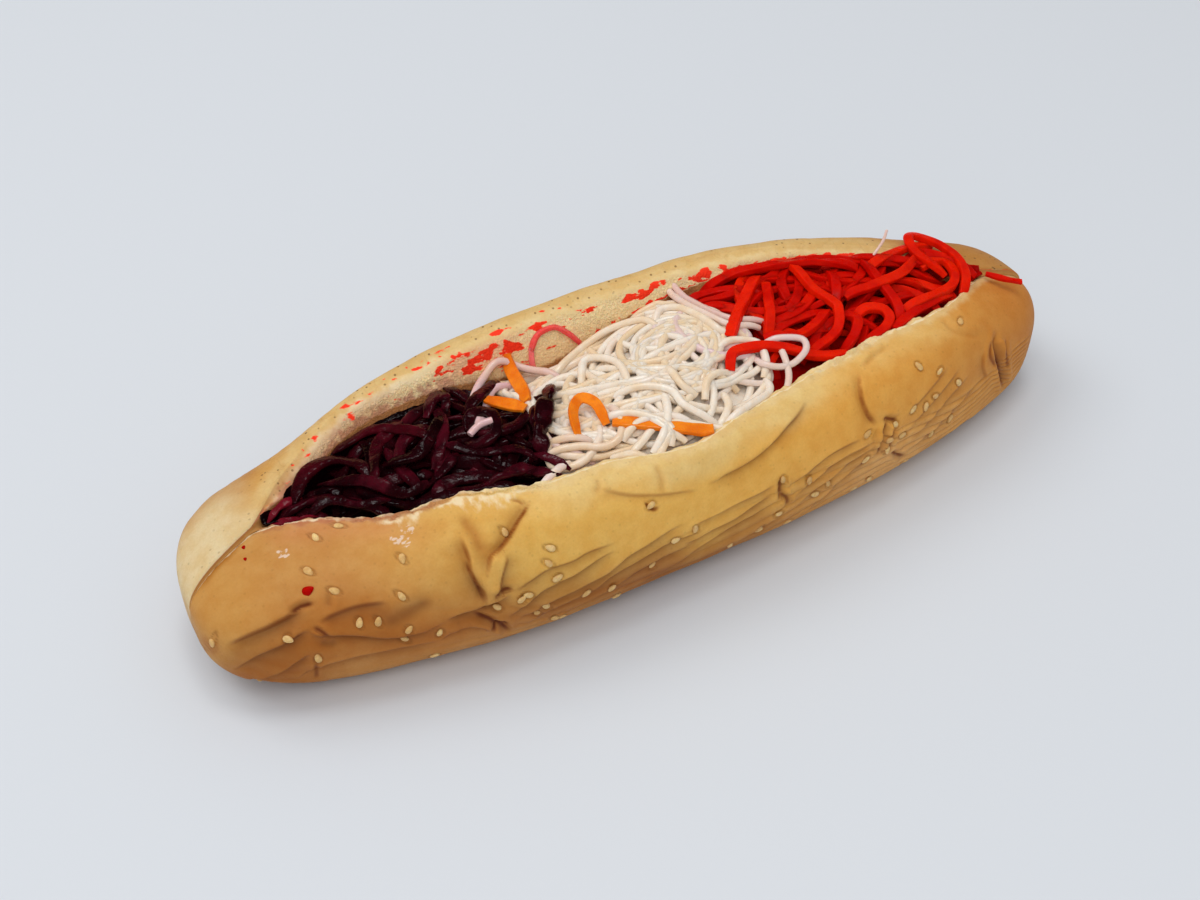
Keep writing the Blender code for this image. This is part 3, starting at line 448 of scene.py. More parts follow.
# Folds as they show on the near side.
CREASES: tuple[Crease, ...] = tuple(Crease(*row) for row in (
    # ridges and laps of the left end
    (((-145.2, 20.5), (-141.7, 23.0), (-137.4, 25.6), (-132.4, 28.2), (-126.7, 30.1), (-122.4, 29.5)),
     1.8, 2.8, 1.1, 0.9, PLEAT),
    (((-126.7, 29.6), (-123.9, 28.8), (-120.3, 28.8)), 0.9, 0.9, 0.4, 1.0, CUT),
    (((-145.2, 33.0), (-141.7, 31.9), (-138.1, 32.3), (-131.7, 35.2), (-126.7, 36.3), (-123.1, 35.4)),
     1.7, 2.8, 1.1, 0.9, PLEAT),
    (((-141.7, 43.0), (-138.1, 44.1), (-133.1, 45.2), (-128.8, 44.8), (-124.6, 44.2)),
     1.4, 2.8, 0.9, 0.9, PLEAT),
    (((-129.6, 54.2), (-124.6, 51.0), (-115.3, 49.5), (-106.0, 47.9), (-97.5, 45.6), (-88.9, 44.8)),
     1.4, 2.6, 0.9, 0.9, PLEAT),
    (((-124.6, 35.5), (-123.1, 37.2), (-121.0, 38.9), (-113.9, 40.1), (-106.0, 41.5), (-101.1, 41.2),
      (-96.1, 40.0), (-91.1, 38.9), (-86.8, 37.0)), 1.6, 1.6, 1.1, 1.0, PLEAT),
    (((-123.1, 37.2), (-121.0, 38.9), (-113.9, 40.1), (-106.0, 41.5), (-101.1, 41.2), (-96.1, 40.0),
      (-91.1, 38.9)), 0.5, 0.8, 0.0, 1.0, CUT),
    (((-122.4, 35.5), (-120.3, 37.6), (-118.9, 40.0)), 0.6, 0.8, 0.3, 0.8, CUT),
    (((-121.0, 34.7), (-116.0, 32.7), (-108.9, 30.6), (-101.1, 28.5)), 0.8, 2.4, 0.6, 0.8, PLEAT),
    (((-104.6, 37.6), (-101.1, 34.8), (-97.5, 32.6), (-93.2, 30.1), (-88.9, 28.4)), 1.0, 2.4, 0.5, 0.85),
    (((-115.3, 26.6), (-116.0, 28.5), (-116.7, 30.3)), 0.6, 0.9, 0.3, 0.6),
    (((-123.9, 47.6), (-123.9, 51.7), (-123.9, 57.7)), 0.5, 0.7, 0.2, 0.6, CUT),
    (((-121.7, 41.1), (-119.6, 42.3), (-117.4, 42.0)), 0.7, 1.3, 0.3, 0.9),
    (((-148.8, 10.4), (-149.5, 11.7), (-148.8, 16.1), (-148.1, 19.8), (-147.4, 17.7), (-147.4, 14.8)),
     0.6, 0.9, 0.4, 0.7),
    # the deep V fold from the rim and what meets it
    (((-54.7, 5.4), (-59.7, 10.9), (-63.3, 15.2), (-67.6, 19.5), (-71.1, 21.9), (-72.6, 24.7),
      (-74.0, 27.9)), 1.8, 1.6, 1.1, 1.0, PLEAT),
    (((-54.7, 5.4), (-59.7, 10.9), (-63.3, 15.2), (-67.6, 19.5), (-70.4, 21.9)), 0.9, 0.9, 0.0, 1.0, CUT),
    (((-59.0, 4.5), (-57.6, 5.0), (-56.9, 6.3)), 0.5, 0.8, 0.4, 0.5, CUT),
    (((-72.6, 7.0), (-73.3, 9.8), (-72.6, 13.5), (-72.6, 17.2), (-71.8, 21.0)), 1.0, 2.0, 0.6, 0.75),
    (((-76.8, 12.9), (-76.8, 16.6), (-76.8, 19.8), (-77.5, 23.9), (-76.8, 27.6), (-75.4, 31.5),
      (-75.4, 36.5)), 2.0, 2.0, 1.2, 1.0, PLEAT),
    (((-77.5, 20.2), (-77.5, 23.9), (-76.8, 27.6), (-76.1, 30.9), (-75.4, 35.2)), 0.9, 1.0, 0.0, 1.0, CUT),
    (((-71.1, 34.0), (-70.4, 31.2), (-69.0, 27.5), (-66.9, 23.2), (-66.9, 21.4)), 1.3, 1.7, 0.9, 0.8, PLEAT),
    (((-72.6, 34.0), (-70.4, 33.1), (-68.3, 32.6), (-66.9, 33.0)), 0.9, 1.1, 0.5, 1.0, CUT),
    (((-86.8, 37.0), (-83.2, 36.0), (-78.3, 36.7), (-74.0, 36.2), (-70.4, 35.4), (-67.6, 34.0)),
     2.2, 1.9, 1.2, 1.0, PLEAT),
    (((-84.0, 36.4), (-78.3, 36.7), (-74.0, 36.7), (-71.1, 35.9)), 0.7, 0.9, 0.0, 1.0, CUT),
    (((-79.0, 37.5), (-76.8, 40.5), (-74.0, 43.2), (-71.1, 46.6), (-67.6, 52.6)), 1.3, 1.2, 0.8, 1.0, CUT),
    (((-73.3, 48.8), (-72.6, 46.1), (-70.4, 45.2), (-69.0, 48.0)), 1.0, 1.0, 0.5, 1.0, CUT),
    (((-88.9, 44.8), (-85.4, 42.9), (-81.1, 43.1), (-77.5, 44.6), (-74.0, 47.8)), 0.8, 1.4, 0.4, 0.7, PLEAT),
    # pleats of the middle
    (((-67.6, 34.4), (-61.2, 30.2), (-55.5, 26.9), (-47.6, 25.6), (-43.4, 24.7), (-37.7, 24.8),
      (-33.4, 25.3)), 0.9, 1.7, 0.6, 0.75, PLEAT),
    (((-69.7, 44.8), (-63.3, 39.2), (-58.3, 34.9), (-52.6, 32.1), (-47.6, 30.9), (-42.6, 29.2),
      (-38.4, 28.3), (-33.4, 27.5)), 1.4, 1.7, 0.9, 1.0, PLEAT),
    (((-68.3, 47.0), (-61.9, 43.6), (-54.0, 38.9), (-46.2, 36.7), (-37.7, 35.0), (-31.2, 31.9),
      (-24.8, 29.8), (-18.4, 27.0), (-13.4, 24.9), (-9.2, 24.6)), 1.4, 1.6, 0.9, 1.0, PLEAT),
    (((-64.7, 51.4), (-59.7, 46.9), (-54.0, 43.4), (-46.9, 41.1), (-40.5, 39.8), (-35.5, 37.7),
      (-27.7, 35.7), (-21.3, 33.4), (-15.6, 31.0), (-6.3, 29.4), (-1.3, 28.4)), 1.2, 1.5, 0.8, 1.0, PLEAT),
    (((-51.9, 49.4), (-44.1, 45.9), (-36.2, 43.9), (-26.3, 40.0), (-16.3, 36.2), (-4.9, 33.9)),
     0.8, 1.4, 0.5, 0.8, PLEAT),
    (((-24.8, 47.3), (-14.1, 42.7), (-7.0, 38.1), (0.8, 35.9), (8.7, 35.2), (17.9, 35.1), (23.6, 34.1)),
     1.3, 1.5, 0.8, 1.0, PLEAT),
    (((-9.2, 27.1), (-4.9, 25.6), (2.2, 25.2), (7.9, 25.5), (14.4, 26.4), (22.9, 27.1)),
     0.9, 1.6, 0.6, 0.75, PLEAT),
    (((-12.0, 33.2), (-7.0, 32.7), (-1.3, 31.3), (7.2, 31.3), (14.4, 30.6), (22.9, 30.6)),
     1.2, 1.5, 0.8, 1.0, PLEAT),
    (((5.1, 48.2), (12.9, 44.9), (20.1, 43.3), (27.2, 42.0)), 0.9, 1.5, 0.6, 0.8, PLEAT),
    # the fold under the pale lip
    (((-35.5, 7.1), (-30.5, 10.2), (-26.3, 11.9), (-19.1, 12.9), (-11.3, 13.0), (-4.9, 13.6)),
     0.7, 1.1, 0.4, 0.45, PLEAT),
    (((-2.7, 12.4), (0.8, 12.8), (4.4, 12.9), (10.8, 13.9), (16.5, 14.1), (22.2, 12.9), (29.3, 10.9),
      (35.0, 9.2), (40.0, 6.6)), 1.3, 1.8, 1.0, 0.8, PLEAT),
    (((0.8, 12.8), (4.4, 12.9), (10.8, 13.9), (16.5, 14.1), (21.5, 12.9)), 0.3, 0.9, 0.0, 0.6, CUT),
    (((-16.3, 3.4), (-16.3, 8.1), (-17.0, 12.8)), 0.5, 1.0, 0.3, 0.4),
    (((-34.1, 4.9), (-34.8, 7.1), (-36.2, 8.4)), 0.5, 0.9, 0.3, 0.4),
    (((-22.7, 14.8), (-22.0, 16.5), (-20.6, 17.7), (-19.1, 16.8)), 0.4, 0.6, 0.3, 0.9, CUT),
    # ripples and pinches of the right end
    (((23.6, 26.3), (24.3, 29.8), (24.3, 34.1)), 1.2, 1.2, 0.8, 0.9, CUT),
    (((24.3, 31.9), (27.2, 35.9), (27.2, 39.0)), 0.9, 1.0, 0.5, 0.8, CUT),
    (((27.9, 30.8), (36.4, 28.8), (42.9, 27.2), (50.0, 27.3), (56.4, 28.2)), 0.7, 1.3, 0.5, 0.7, PLEAT),
    (((29.3, 36.5), (35.0, 34.9), (43.6, 32.0), (51.4, 31.2), (61.4, 32.1)), 0.8, 1.3, 0.6, 0.8, PLEAT),
    (((31.5, 41.3), (38.6, 38.9), (45.7, 36.9), (52.8, 34.8), (62.1, 34.3)), 0.8, 1.3, 0.6, 0.8, PLEAT),
    (((37.2, 48.9), (45.0, 43.9), (52.1, 40.0), (62.1, 38.7)), 0.8, 1.3, 0.6, 0.8, PLEAT),
    (((61.4, 7.9), (59.9, 11.0), (58.5, 15.4), (59.2, 20.7), (62.8, 26.3)), 1.0, 1.3, 0.7, 0.75, PLEAT),
    (((59.9, 11.4), (58.5, 15.4), (59.2, 20.7), (62.1, 25.9)), 0.4, 0.8, 0.0, 0.8, CUT),
    (((67.1, 26.7), (65.6, 30.7), (64.2, 35.1), (64.2, 39.5)), 1.8, 1.2, 1.1, 1.0, CUT),
    (((63.5, 27.7), (62.1, 29.4), (61.4, 33.8), (62.1, 39.1)), 0.6, 1.0, 1.0, 0.3),
    (((65.6, 25.4), (67.8, 26.7), (71.3, 28.8)), 1.0, 1.1, 0.5, 1.0, CUT),
    (((70.6, 41.5), (73.5, 44.8), (77.8, 47.9)), 0.9, 1.1, 0.5, 0.9, CUT),
    (((70.6, 31.5), (69.2, 35.4), (69.2, 40.7)), 0.9, 0.9, 0.6, 0.7, CUT),
    (((74.9, 29.5), (81.3, 26.1), (88.4, 22.6), (95.6, 18.8)), 0.5, 1.4, 0.4, 0.5, PLEAT),
    (((77.0, 34.6), (84.9, 30.1), (92.7, 26.0), (100.6, 21.3)), 0.6, 1.3, 0.5, 0.6, PLEAT),
    (((77.8, 40.1), (87.0, 35.7), (95.6, 30.2), (105.5, 25.7)), 0.7, 1.3, 0.5, 0.7, PLEAT),
    (((77.8, 44.9), (89.2, 41.3), (100.6, 35.7), (111.2, 30.7)), 0.7, 1.3, 0.5, 0.7, PLEAT),
    (((74.9, 55.6), (87.7, 49.1), (107.0, 48.7), (124.8, 51.8)), 0.8, 1.4, 0.6, 0.8, PLEAT),
    (((122.6, 19.0), (119.8, 22.6), (121.9, 29.4), (124.8, 36.3), (130.5, 47.4)), 2.0, 1.6, 1.2, 1.0, CUT),
    (((117.7, 19.6), (116.2, 24.3), (119.1, 29.9)), 0.8, 1.0, 0.4, 0.7, CUT),
    (((125.5, 24.1), (125.5, 29.4), (127.6, 36.1)), 0.8, 1.0, 0.4, 0.7, CUT),
    (((113.4, 21.3), (112.7, 26.0), (115.5, 32.8)), 0.6, 1.0, 0.4, 0.5, PLEAT),
    (((63.5, 7.0), (72.8, 5.2), (77.0, 4.8)), 0.5, 1.0, 0.3, 0.35),
    (((101.3, 2.0), (102.7, 9.2), (115.5, 16.6)), 0.4, 1.2, 0.2, 0.25),
))

# Seeds as they show on the near side, the last six guessed: (x, length below the near crest), in millimetres.
SEED_SPOTS_MM: tuple[tuple[float, float], ...] = (
    (-112.5, 7.5), (-105.3, 3.2), (-64.7, 14.8), (-93.9, 15.1), (-118.2, 19.1), (-55.5, 24.7),
    (-113.9, 26.1), (-97.5, 26.4), (-53.3, 30.3), (-62.6, 35.4), (-110.3, 35.9), (-105.3, 35.4),
    (-97.5, 37.5), (-88.9, 41.2), (-129.6, 34.8), (-98.9, 42.6), (-123.1, 46.4), (-148.1, 16.0),
    (-44.1, 40.6), (-35.5, 43.0), (-53.3, 50.0), (-64.7, 36.6), (-71.8, 39.1), (-7.0, 27.8), (-14.1, 30.0),
    (-21.3, 39.4), (-56.9, 42.0), (-59.7, 44.7), (-50.9, 51.2), (-54.0, 20.1), (-21.3, 16.0), (7.9, 45.6),
    (17.9, 43.6), (83.5, 14.9), (91.3, 19.1), (99.8, 26.1), (88.4, 26.8), (83.9, 29.0), (70.6, 30.1),
    (58.5, 27.7), (67.1, 33.7), (67.1, 38.1), (74.2, 36.1), (58.5, 37.8), (62.8, 50.1), (57.5, 52.6),
    (35.0, 32.7), (43.6, 39.5), (38.6, 41.2), (25.0, 26.8), (24.3, 40.6), (18.6, 46.0), (30.0, 50.0),
    (97.7, 40.1), (89.2, 43.0), (78.5, 28.0), (107.0, 7.5), (-138.0, 52.0), (-90.0, 54.0), (-32.0, 52.0),
    (2.0, 54.0), (80.0, 52.0), (104.0, 50.0),
)


@dataclass
class RollForm:
    """The roll's shape: profiles along X, and the closed section that they give at a station."""

    LEFT_ROUNDING = {"near": (5.2, 2.6), "far": (6.0, 2.7), "height": (5.8, 3.1)}
    RIGHT_ROUNDING = {"near": (3.4, 4.1), "far": (3.1, 4.9), "height": (3.5, 6.7)}
    LEFT_POLE, RIGHT_POLE = (-0.0075, 0.022), (0.0005, 0.024)

    end_left: float = -0.1505
    end_right: float = 0.1500
    floor: float = 0.012
    near_belly: float = 0.022
    far_belly: float = 0.034
    slit: tuple[float, float] = (-0.128, 0.134)
    run_out: float = 0.028
    near_side: Keys = (
        (-0.15, -0.04), (-0.11, -0.041), (-0.06, -0.046), (0.0, -0.045), (0.06, -0.04), (0.11, -0.032),
        (0.15, -0.023),
    )
    far_side: Keys = (
        (-0.15, 0.039), (-0.11, 0.0335), (-0.06, 0.042), (0.0, 0.0465), (0.04, 0.0462), (0.08, 0.044),
        (0.15, 0.04),
    )
    near_foot: Keys = ((-0.150, -0.027), (-0.060, -0.031), (0.0, -0.030), (0.060, -0.027), (0.150, -0.019))
    far_foot: Keys = ((-0.150, 0.017), (-0.060, 0.021), (0.0, 0.023), (0.060, 0.023), (0.150, 0.017))
    near_crest: Keys = (
        (-0.15, 0.04), (-0.11, 0.044), (-0.06, 0.048), (0.06, 0.0485), (0.11, 0.047), (0.15, 0.041),
    )
    far_crest: Keys = (
        (-0.15, 0.042), (-0.11, 0.0465), (-0.06, 0.054), (0.0, 0.057), (0.06, 0.057), (0.1, 0.051),
        (0.125, 0.047), (0.15, 0.044),
    )
    near_rim: Keys = (
        (-0.15, -0.005), (-0.128, 0.002), (-0.112, -0.0045), (-0.092, -0.0175), (-0.07, -0.0205),
        (-0.05, -0.0285), (-0.03, -0.0295), (0.0, -0.035), (0.015, -0.0305), (0.04, -0.0245),
        (0.07, -0.018), (0.11, -0.0115), (0.133, 0.0015), (0.15, 0.003),
    )
    far_rim: Keys = (
        (-0.15, -0.005), (-0.128, 0.002), (-0.115, 0.014), (-0.09, 0.0295), (-0.06, 0.0345), (0.0, 0.037),
        (0.04, 0.0355), (0.08, 0.0305), (0.11, 0.022), (0.133, 0.004), (0.15, 0.003),
    )
    far_fill: Keys = (
        (-0.15, 0.86), (-0.1, 0.87), (-0.06, 0.82), (-0.022, 0.68), (0.005, 0.8), (0.05, 0.92),
        (0.134, 0.95),
    )
    crown: Keys = (
        (-0.124, 0.0), (-0.08, 0.003), (-0.045, 0.004), (-0.02, 0.007), (0.01, 0.008), (0.04, 0.004),
        (0.09, 0.003), (0.13, 0.0),
    )
    pleat_top: Keys = (
        (-0.15, 0.42), (-0.119, 0.42), (-0.081, 0.4), (-0.059, 0.52), (-0.03, 0.44), (0.0, 0.37),
        (0.05, 0.44), (0.1, 0.5), (0.15, 0.5),
    )
    ripple: Keys = ((-0.150, 0.15), (-0.080, 0.2), (-0.060, 0.35), (0.010, 0.5), (0.030, 0.6), (0.120, 0.7),
                    (0.150, 0.6))
    torn: Keys = (
        (-0.15, 0.1), (-0.13, 0.2), (-0.11, 0.5), (-0.095, 0.9), (-0.075, 1.0), (-0.052, 0.9), (-0.04, 0.3),
        (0.01, 0.3), (0.04, 0.5), (0.06, 0.75), (0.08, 0.6), (0.1, 0.3), (0.15, 0.1),
    )
    near_fill: float = 0.92
    seam_half_gap: float = 0.0004
    seam_depth: float = 0.0003
    seam_dip: float = 0.0001
    upper_power: float = 2.3
    near_lower_power: float = 2.2
    far_lower_power: float = 1.9
    dense: int = 70

    def end_scale(self, x: float, direction: str) -> float:
        """How far the section still reaches near an end, from 1 down to 0 at the end itself.

        Args:
            x: The station.
            direction: Which way the section reaches: near, far or height.

        Returns:
            The share that is left.
        """
        if x < 0:
            end, rounding = self.end_left, self.LEFT_ROUNDING
        else:
            end, rounding = self.end_right, self.RIGHT_ROUNDING
        p, q = rounding[direction]
        return max(1 - abs(x / end) ** p, 0.0) ** (1 / q)

    def pole(self, x: float) -> tuple[float, float]:
        """The (y, z) point that the nearer end closes to."""
        return self.LEFT_POLE if x < 0 else self.RIGHT_POLE

    def rounded_off(self, x: float, points: Array) -> Array:
        """Draws a section's points in towards the pole near an end.

        Args:
            x: The section's station.
            points: Its (y, z) points.

        Returns:
            The drawn in points.
        """
        pole_y, pole_z = self.pole(x)
        y, z = points.T
        sideways = np.where(y < pole_y, self.end_scale(x, "near"), self.end_scale(x, "far"))
        upward = self.end_scale(x, "height")
        return np.stack([pole_y + (y - pole_y) * sideways, pole_z + (z - pole_z) * upward], axis=1)

    def rims(self, x: float) -> tuple[tuple[float, float], tuple[float, float], float]:
        """The near and far crests at a station, and how far the slit is open there.

        Args:
            x: The station.

        Returns:
            The (y, z) of each crest, and the opening from 0 to 1.
        """
        opening = float(ramp(min(x - self.slit[0], self.slit[1] - x), 0, self.run_out))
        near_y, far_y = profile(x, self.near_rim), profile(x, self.far_rim)
        middle = (near_y + far_y) / 2
        near = (min(near_y, middle - self.seam_half_gap), profile(x, self.near_crest))
        far = (max(far_y, middle + self.seam_half_gap), profile(x, self.far_crest))
        return near, far, opening

    def quarter(self, centre: tuple[float, float], reach: tuple[float, float], power: float) -> Array:
        """A quarter of a superellipse, from straight above or below the centre to straight beside it.

        Args:
            centre: Its (y, z) centre.
            reach: How far it reaches sideways and up, less than 0 for down.
            power: How square it is.

        Returns:
            Its (y, z) points.
        """
        angle = np.linspace(0, math.pi / 2, self.dense)
        y = centre[0] + reach[0] * np.sin(angle) ** (2 / power)
        z = centre[1] + reach[1] * np.cos(angle) ** (2 / power)
        return np.stack([y, z], axis=1)

    def near_skin(self, x: float) -> Array:
        """The skin from the near crest round the near side down to the base.

        Args:
            x: The station.

        Returns:
            The (y, z) points.
        """
        (rim, crest), _, _ = self.rims(x)
        side, foot = profile(x, self.near_side), profile(x, self.near_foot)
        upper = self.quarter((rim, self.near_belly), (side - rim, crest - self.near_belly), self.upper_power)
        lower = self.quarter((foot, self.near_belly), (side - foot, -self.near_belly), self.near_lower_power)
        return self.rounded_off(x, np.vstack([upper, lower[-2::-1]]))

    def far_skin(self, x: float) -> Array:
        """The skin from the base up the far side to the far crest.

        Args:
            x: The station.

        Returns:
            The (y, z) points.
        """
        _, (rim, crest), _ = self.rims(x)
        side, foot = profile(x, self.far_side), profile(x, self.far_foot)
        lower = self.quarter((foot, self.far_belly), (side - foot, -self.far_belly), self.far_lower_power)
        upper = self.quarter((rim, self.far_belly), (side - rim, crest - self.far_belly), self.upper_power)
        return self.rounded_off(x, np.vstack([lower, upper[-2::-1]]))

    def slit_surface(self, x: float) -> Array:
        """The cut surface from the far crest down the far face, over the hinge and up to the near crest.

        Args:
            x: The station.

        Returns:
            The (y, z) points.
        """
        (near_y, near_z), (far_y, far_z), opened = self.rims(x)
        middle = (near_y + far_y) / 2
        dip = self.seam_dip * (1 - opened)
        bottom = ((near_z + far_z) / 2 - self.seam_depth) * (1 - opened) + self.floor * opened

        def below(y: float, z: float, inward: float, down: float) -> tuple[float, float]:
            """A point inward of a crest and down from it, where the slit is open."""
            side = 1 if y < middle else -1
            return (y + side * inward * opened, z - down * opened - dip)

        points = (
            (far_y, far_z),
            below(far_y, far_z, 0.0012, 0.0006),
            below(far_y, far_z, 0.0060, 0.0035),
            below(far_y, far_z, 0.0130, (far_z - bottom) * 0.45),
            (0.35 * far_y + 0.65 * middle, bottom + 0.003 * opened),
            (middle, bottom),
            (0.45 * near_y + 0.55 * middle, bottom + 0.003 * opened),
            below(near_y, near_z, 0.005, (near_z - bottom) * 0.5),
            below(near_y, near_z, 0.0025, 0.0025),
            below(near_y, near_z, 0.0006, 0.0004),
        )
        return self.rounded_off(x, through(points, 4 * self.dense))

    def slit_parts(self, x: float) -> tuple[Array, Array, Array]:
        """The cut surface in three: bare far face, the trough that the filling lies in, bare near lip.

        Args:
            x: The station.

        Returns:
            The (y, z) points of each part.
        """
        curve = self.slit_surface(x)
        low = int(curve[:, 1].argmin())
        bottom = curve[low, 1]
        far_level = bottom + (curve[0, 1] - bottom) * profile(x, self.far_fill)
        near_level = bottom + (curve[-1, 1] - bottom) * self.near_fill
        far_end = int(np.argmax(curve[:, 1] < far_level))
        near_end = low + int(np.argmax(curve[low:, 1] > near_level))
        return curve[: far_end + 1], curve[far_end : near_end + 1], curve[near_end:]

    def top_height(self, x: float, y: Array) -> Array:
        """Height of the filling over a point in plan.

        Args:
            x: The station.
            y: Distances across the roll.

        Returns:
            The heights.
        """
        _, trough, _ = self.slit_parts(x)
        far, near = trough[0], trough[-1]
        share = np.clip((y - near[0]) / (far[0] - near[0]), 0, 1)
        return near[1] + (far[1] - near[1]) * share + profile(x, self.crown) * (1 - (2 * share - 1) ** 2)


# ------------------------------------------------------------------------------------------------- the bread
def plain_mesh(name: str, points: Array, faces: Sequence[tuple], edges: Sequence[tuple] = ()) -> Thing:
    """Makes a smooth mesh object at the origin.

    Args:
        name: Its name.
        points: Its points.
        faces: The points of each face.
        edges: The points of each edge that no face has.

    Returns:
        The object, linked to the scene.
    """
    mesh = bpy.data.meshes.new(name)
    mesh.from_pydata([tuple(point) for point in points], edges, faces)
    mesh.update()
    mesh.shade_smooth()
    thing = bpy.data.objects.new(name, mesh)
    bpy.context.scene.collection.objects.link(thing)
    return thing


def store(thing: Thing, name: str, values: Array) -> None:
    """Keeps a number or a colour for each point of a mesh under a name.

    Args:
        thing: The mesh object.
        name: The attribute's name.
        values: A number or a colour for each point.
    """
    if values.ndim == 1:
        layer = thing.data.attributes.new(name, "FLOAT", "POINT")
        layer.data.foreach_set("value", values.astype(np.float32))
    else:
        layer = thing.data.attributes.new(name, "FLOAT_COLOR", "POINT")
        full = np.concatenate([values, np.ones((len(values), 1))], axis=1)
        layer.data.foreach_set("color", full.astype(np.float32).ravel())


@dataclass(frozen=True)
class BakedBread(Flesh):
    """Soft milk bread: thin baked skin, satin with a little fat, over open pale crumb."""

    def make(self) -> Material:
        """Builds the material from the roll's own colour and crumb attributes.

        Returns:
            The material.
        """
        material, tree, shader = self.start()
        tint = add(tree, ATTRIBUTE, out="Color", attribute_name="tint")
        names = ("crumb", "specks", "gap", "reach", "dark")
        crumb, specks, gap, reach, dark = (
            add(tree, ATTRIBUTE, out="Fac", attribute_name=name) for name in names
        )
        place = add(tree, "ShaderNodeTexCoord", out="Object")
        # slow change of colour in the skin, a fine mottle of it, and fine pores of the crumb
        slow, fine, small = (
            add(tree, RANGE, {0: grain_at(tree, size_mm, detail), 1: low, 2: high}, **SMOOTH)
            for size_mm, detail, low, high in (
                (5.0, 4.0, 0.3, 0.7), (0.7, 2.0, 0.3, 0.7), (0.55, 3.0, 0.32, 0.62)
            )
        )
        # hairline cracks about 9 mm apart where the crust is pale and thin
        shift = add(tree, NOISE, {"Vector": place, "Scale": 1 / (3 * MM), "Detail": 2.0}, out="Color")
        bent = add(tree, MIX, {0: 0.004, 6: place, 7: shift}, out=2, data_type="RGBA", blend_type="ADD")
        edges = add(tree, CELLS, {"Vector": bent, "Scale": 1 / (9 * MM)}, feature="DISTANCE_TO_EDGE")
        # burnt specks about 0.8 mm across and 2.6 mm apart, and the pores of the crumb, 1.3 mm apart
        burnt, pores = (
            add(tree, CELLS, {"Vector": place, "Scale": 1 / (size_mm * MM)}) for size_mm in (2.6, 1.3)
        )
        dots, cracks, holes = (
            add(tree, MATH, {0: add(tree, RANGE, {0: value, 1: low, 2: high, 4: most}, **SMOOTH), 1: part},
                operation="MULTIPLY")
            for value, low, high, most, part in (
                (burnt, 0.20, 0.10, 1.0, specks), (edges, 0.03, 0.0, 0.16, specks),
                (pores, 0.10, 0.55, 1.0, small))
        )
        skin = painted(tree, rgba("#f8efe0"), (slow, "#ffffff"))
        skin = add(tree, MIX, {0: 1.0, 6: tint, 7: skin}, out=2, **TINTED)
        mottle = add(tree, RANGE, {0: fine, 4: 0.06}, **SMOOTH)
        skin = painted(tree, skin, (mottle, "#8a5a2a"), (dots, "#6e4a26"), (cracks, "#9a6a3a"))
        # painted shade: the crumb is darker in its pores
        pore_shade_colour = add(tree, MIX, {0: 1.0, 6: tint, 7: rgba("#d8a878")}, out=2, **TINTED)
        pore_shade = add(tree, RANGE, {0: holes, 1: 0.0, 2: 0.5, 3: 0.12, 4: 0.0}, **SMOOTH)
        inside = painted(tree, tint, (pore_shade, pore_shade_colour))
        # painted shade: the dark line of a fold, about 1 mm wide, where both distances from it are small
        apart = add(tree, MATH, {0: gap}, operation="ABSOLUTE")
        reach = add(tree, MATH, {0: reach, 1: 0.55}, operation="MULTIPLY")
        away = add(tree, MATH, {0: apart, 1: reach}, operation="MAXIMUM")
        line = add(tree, RANGE, {0: away, 1: 0.95, 2: 0.1, 4: 0.8}, **SMOOTH)
        line = add(tree, MATH, {0: line, 1: dark}, operation="MULTIPLY")
        fold_shade_colour = add(tree, MIX, {0: 1.0, 6: skin, 7: rgba("#a8662a")}, out=2, **TINTED)
        # torn crumb along the near rim, in streaks that run down from it
        tufts = frayed(tree, "tuft", 0.6, 0.25, 2.2, 4.0, (1.0, 0.5, 0.5))
        tufts = add(tree, RANGE, {0: tufts, 1: -0.1, 2: 0.9, 4: 0.8}, **SMOOTH)
        # beads of fat, 1.2 mm, where the skin is wet, with a painted highlight on them
        beads = frayed(tree, "wet", 0.6, 0.3, 1.2, 3.0, (0.6, 1.0, 1.0))
        wet = add(tree, RANGE, {0: beads, 1: 0.95, 2: 1.2}, **SMOOTH)
        # painted highlight: pale colour on the beads of fat
        shine = add(tree, RANGE, {0: beads, 1: 0.95, 2: 1.25, 4: 0.45}, **SMOOTH)
        skin = painted(tree, skin, (line, fold_shade_colour), (tufts, "#eedcb6"), (shine, "#f6ece4"))
        # ragged red stains of carrot juice
        blots = frayed(tree, "stain", 0.7, 0.25, 2.2, 4.0, (0.5, 1.0, 1.0))
        blots = add(tree, RANGE, {0: blots, 1: 0.42, 2: 0.62}, **SMOOTH)
        colour = painted(tree, skin, (crumb, inside), (blots, "#ff3a1e"))
        silky, satin, dry, glossy = ((level, level, level, 1) for level in (0.50, 0.60, 0.9, 0.14))
        rough = painted(tree, silky, (fine, satin), (crumb, dry), (wet, glossy))
        relief = {"Height": grain_at(tree, 1.4), "Distance": 0.10 * MM, "Strength": 0.5}
        relief = {"Normal": add(tree, "ShaderNodeBump", relief), "Height": holes, "Distance": 0.25 * MM}
        relief = add(tree, "ShaderNodeBump", {**relief, "Strength": crumb})
        wire(tree, shader, {"Base Color": colour, "Roughness": rough, "Normal": relief})
        return material


# Skin colours along the roll from the left end, by station in millimetres.
DOME_COLOURS = (
    (-149, "#c48f4a"), (-141, "#c5914c"), (-110, "#c58f50"), (-60, "#e4b65f"), (0, "#eebb5e"),
    (50, "#e9ad51"), (90, "#db9c48"), (135, "#c98338"),
)
PLEAT_COLOURS = (
    (-140, "#aa6826"), (-90, "#b06c2a"), (-45, "#a5652a"), (-20, "#a4662e"), (5, "#b07438"),
    (40, "#d09650"), (70, "#e4b070"), (105, "#dca35a"), (135, "#cd8e46"),
)
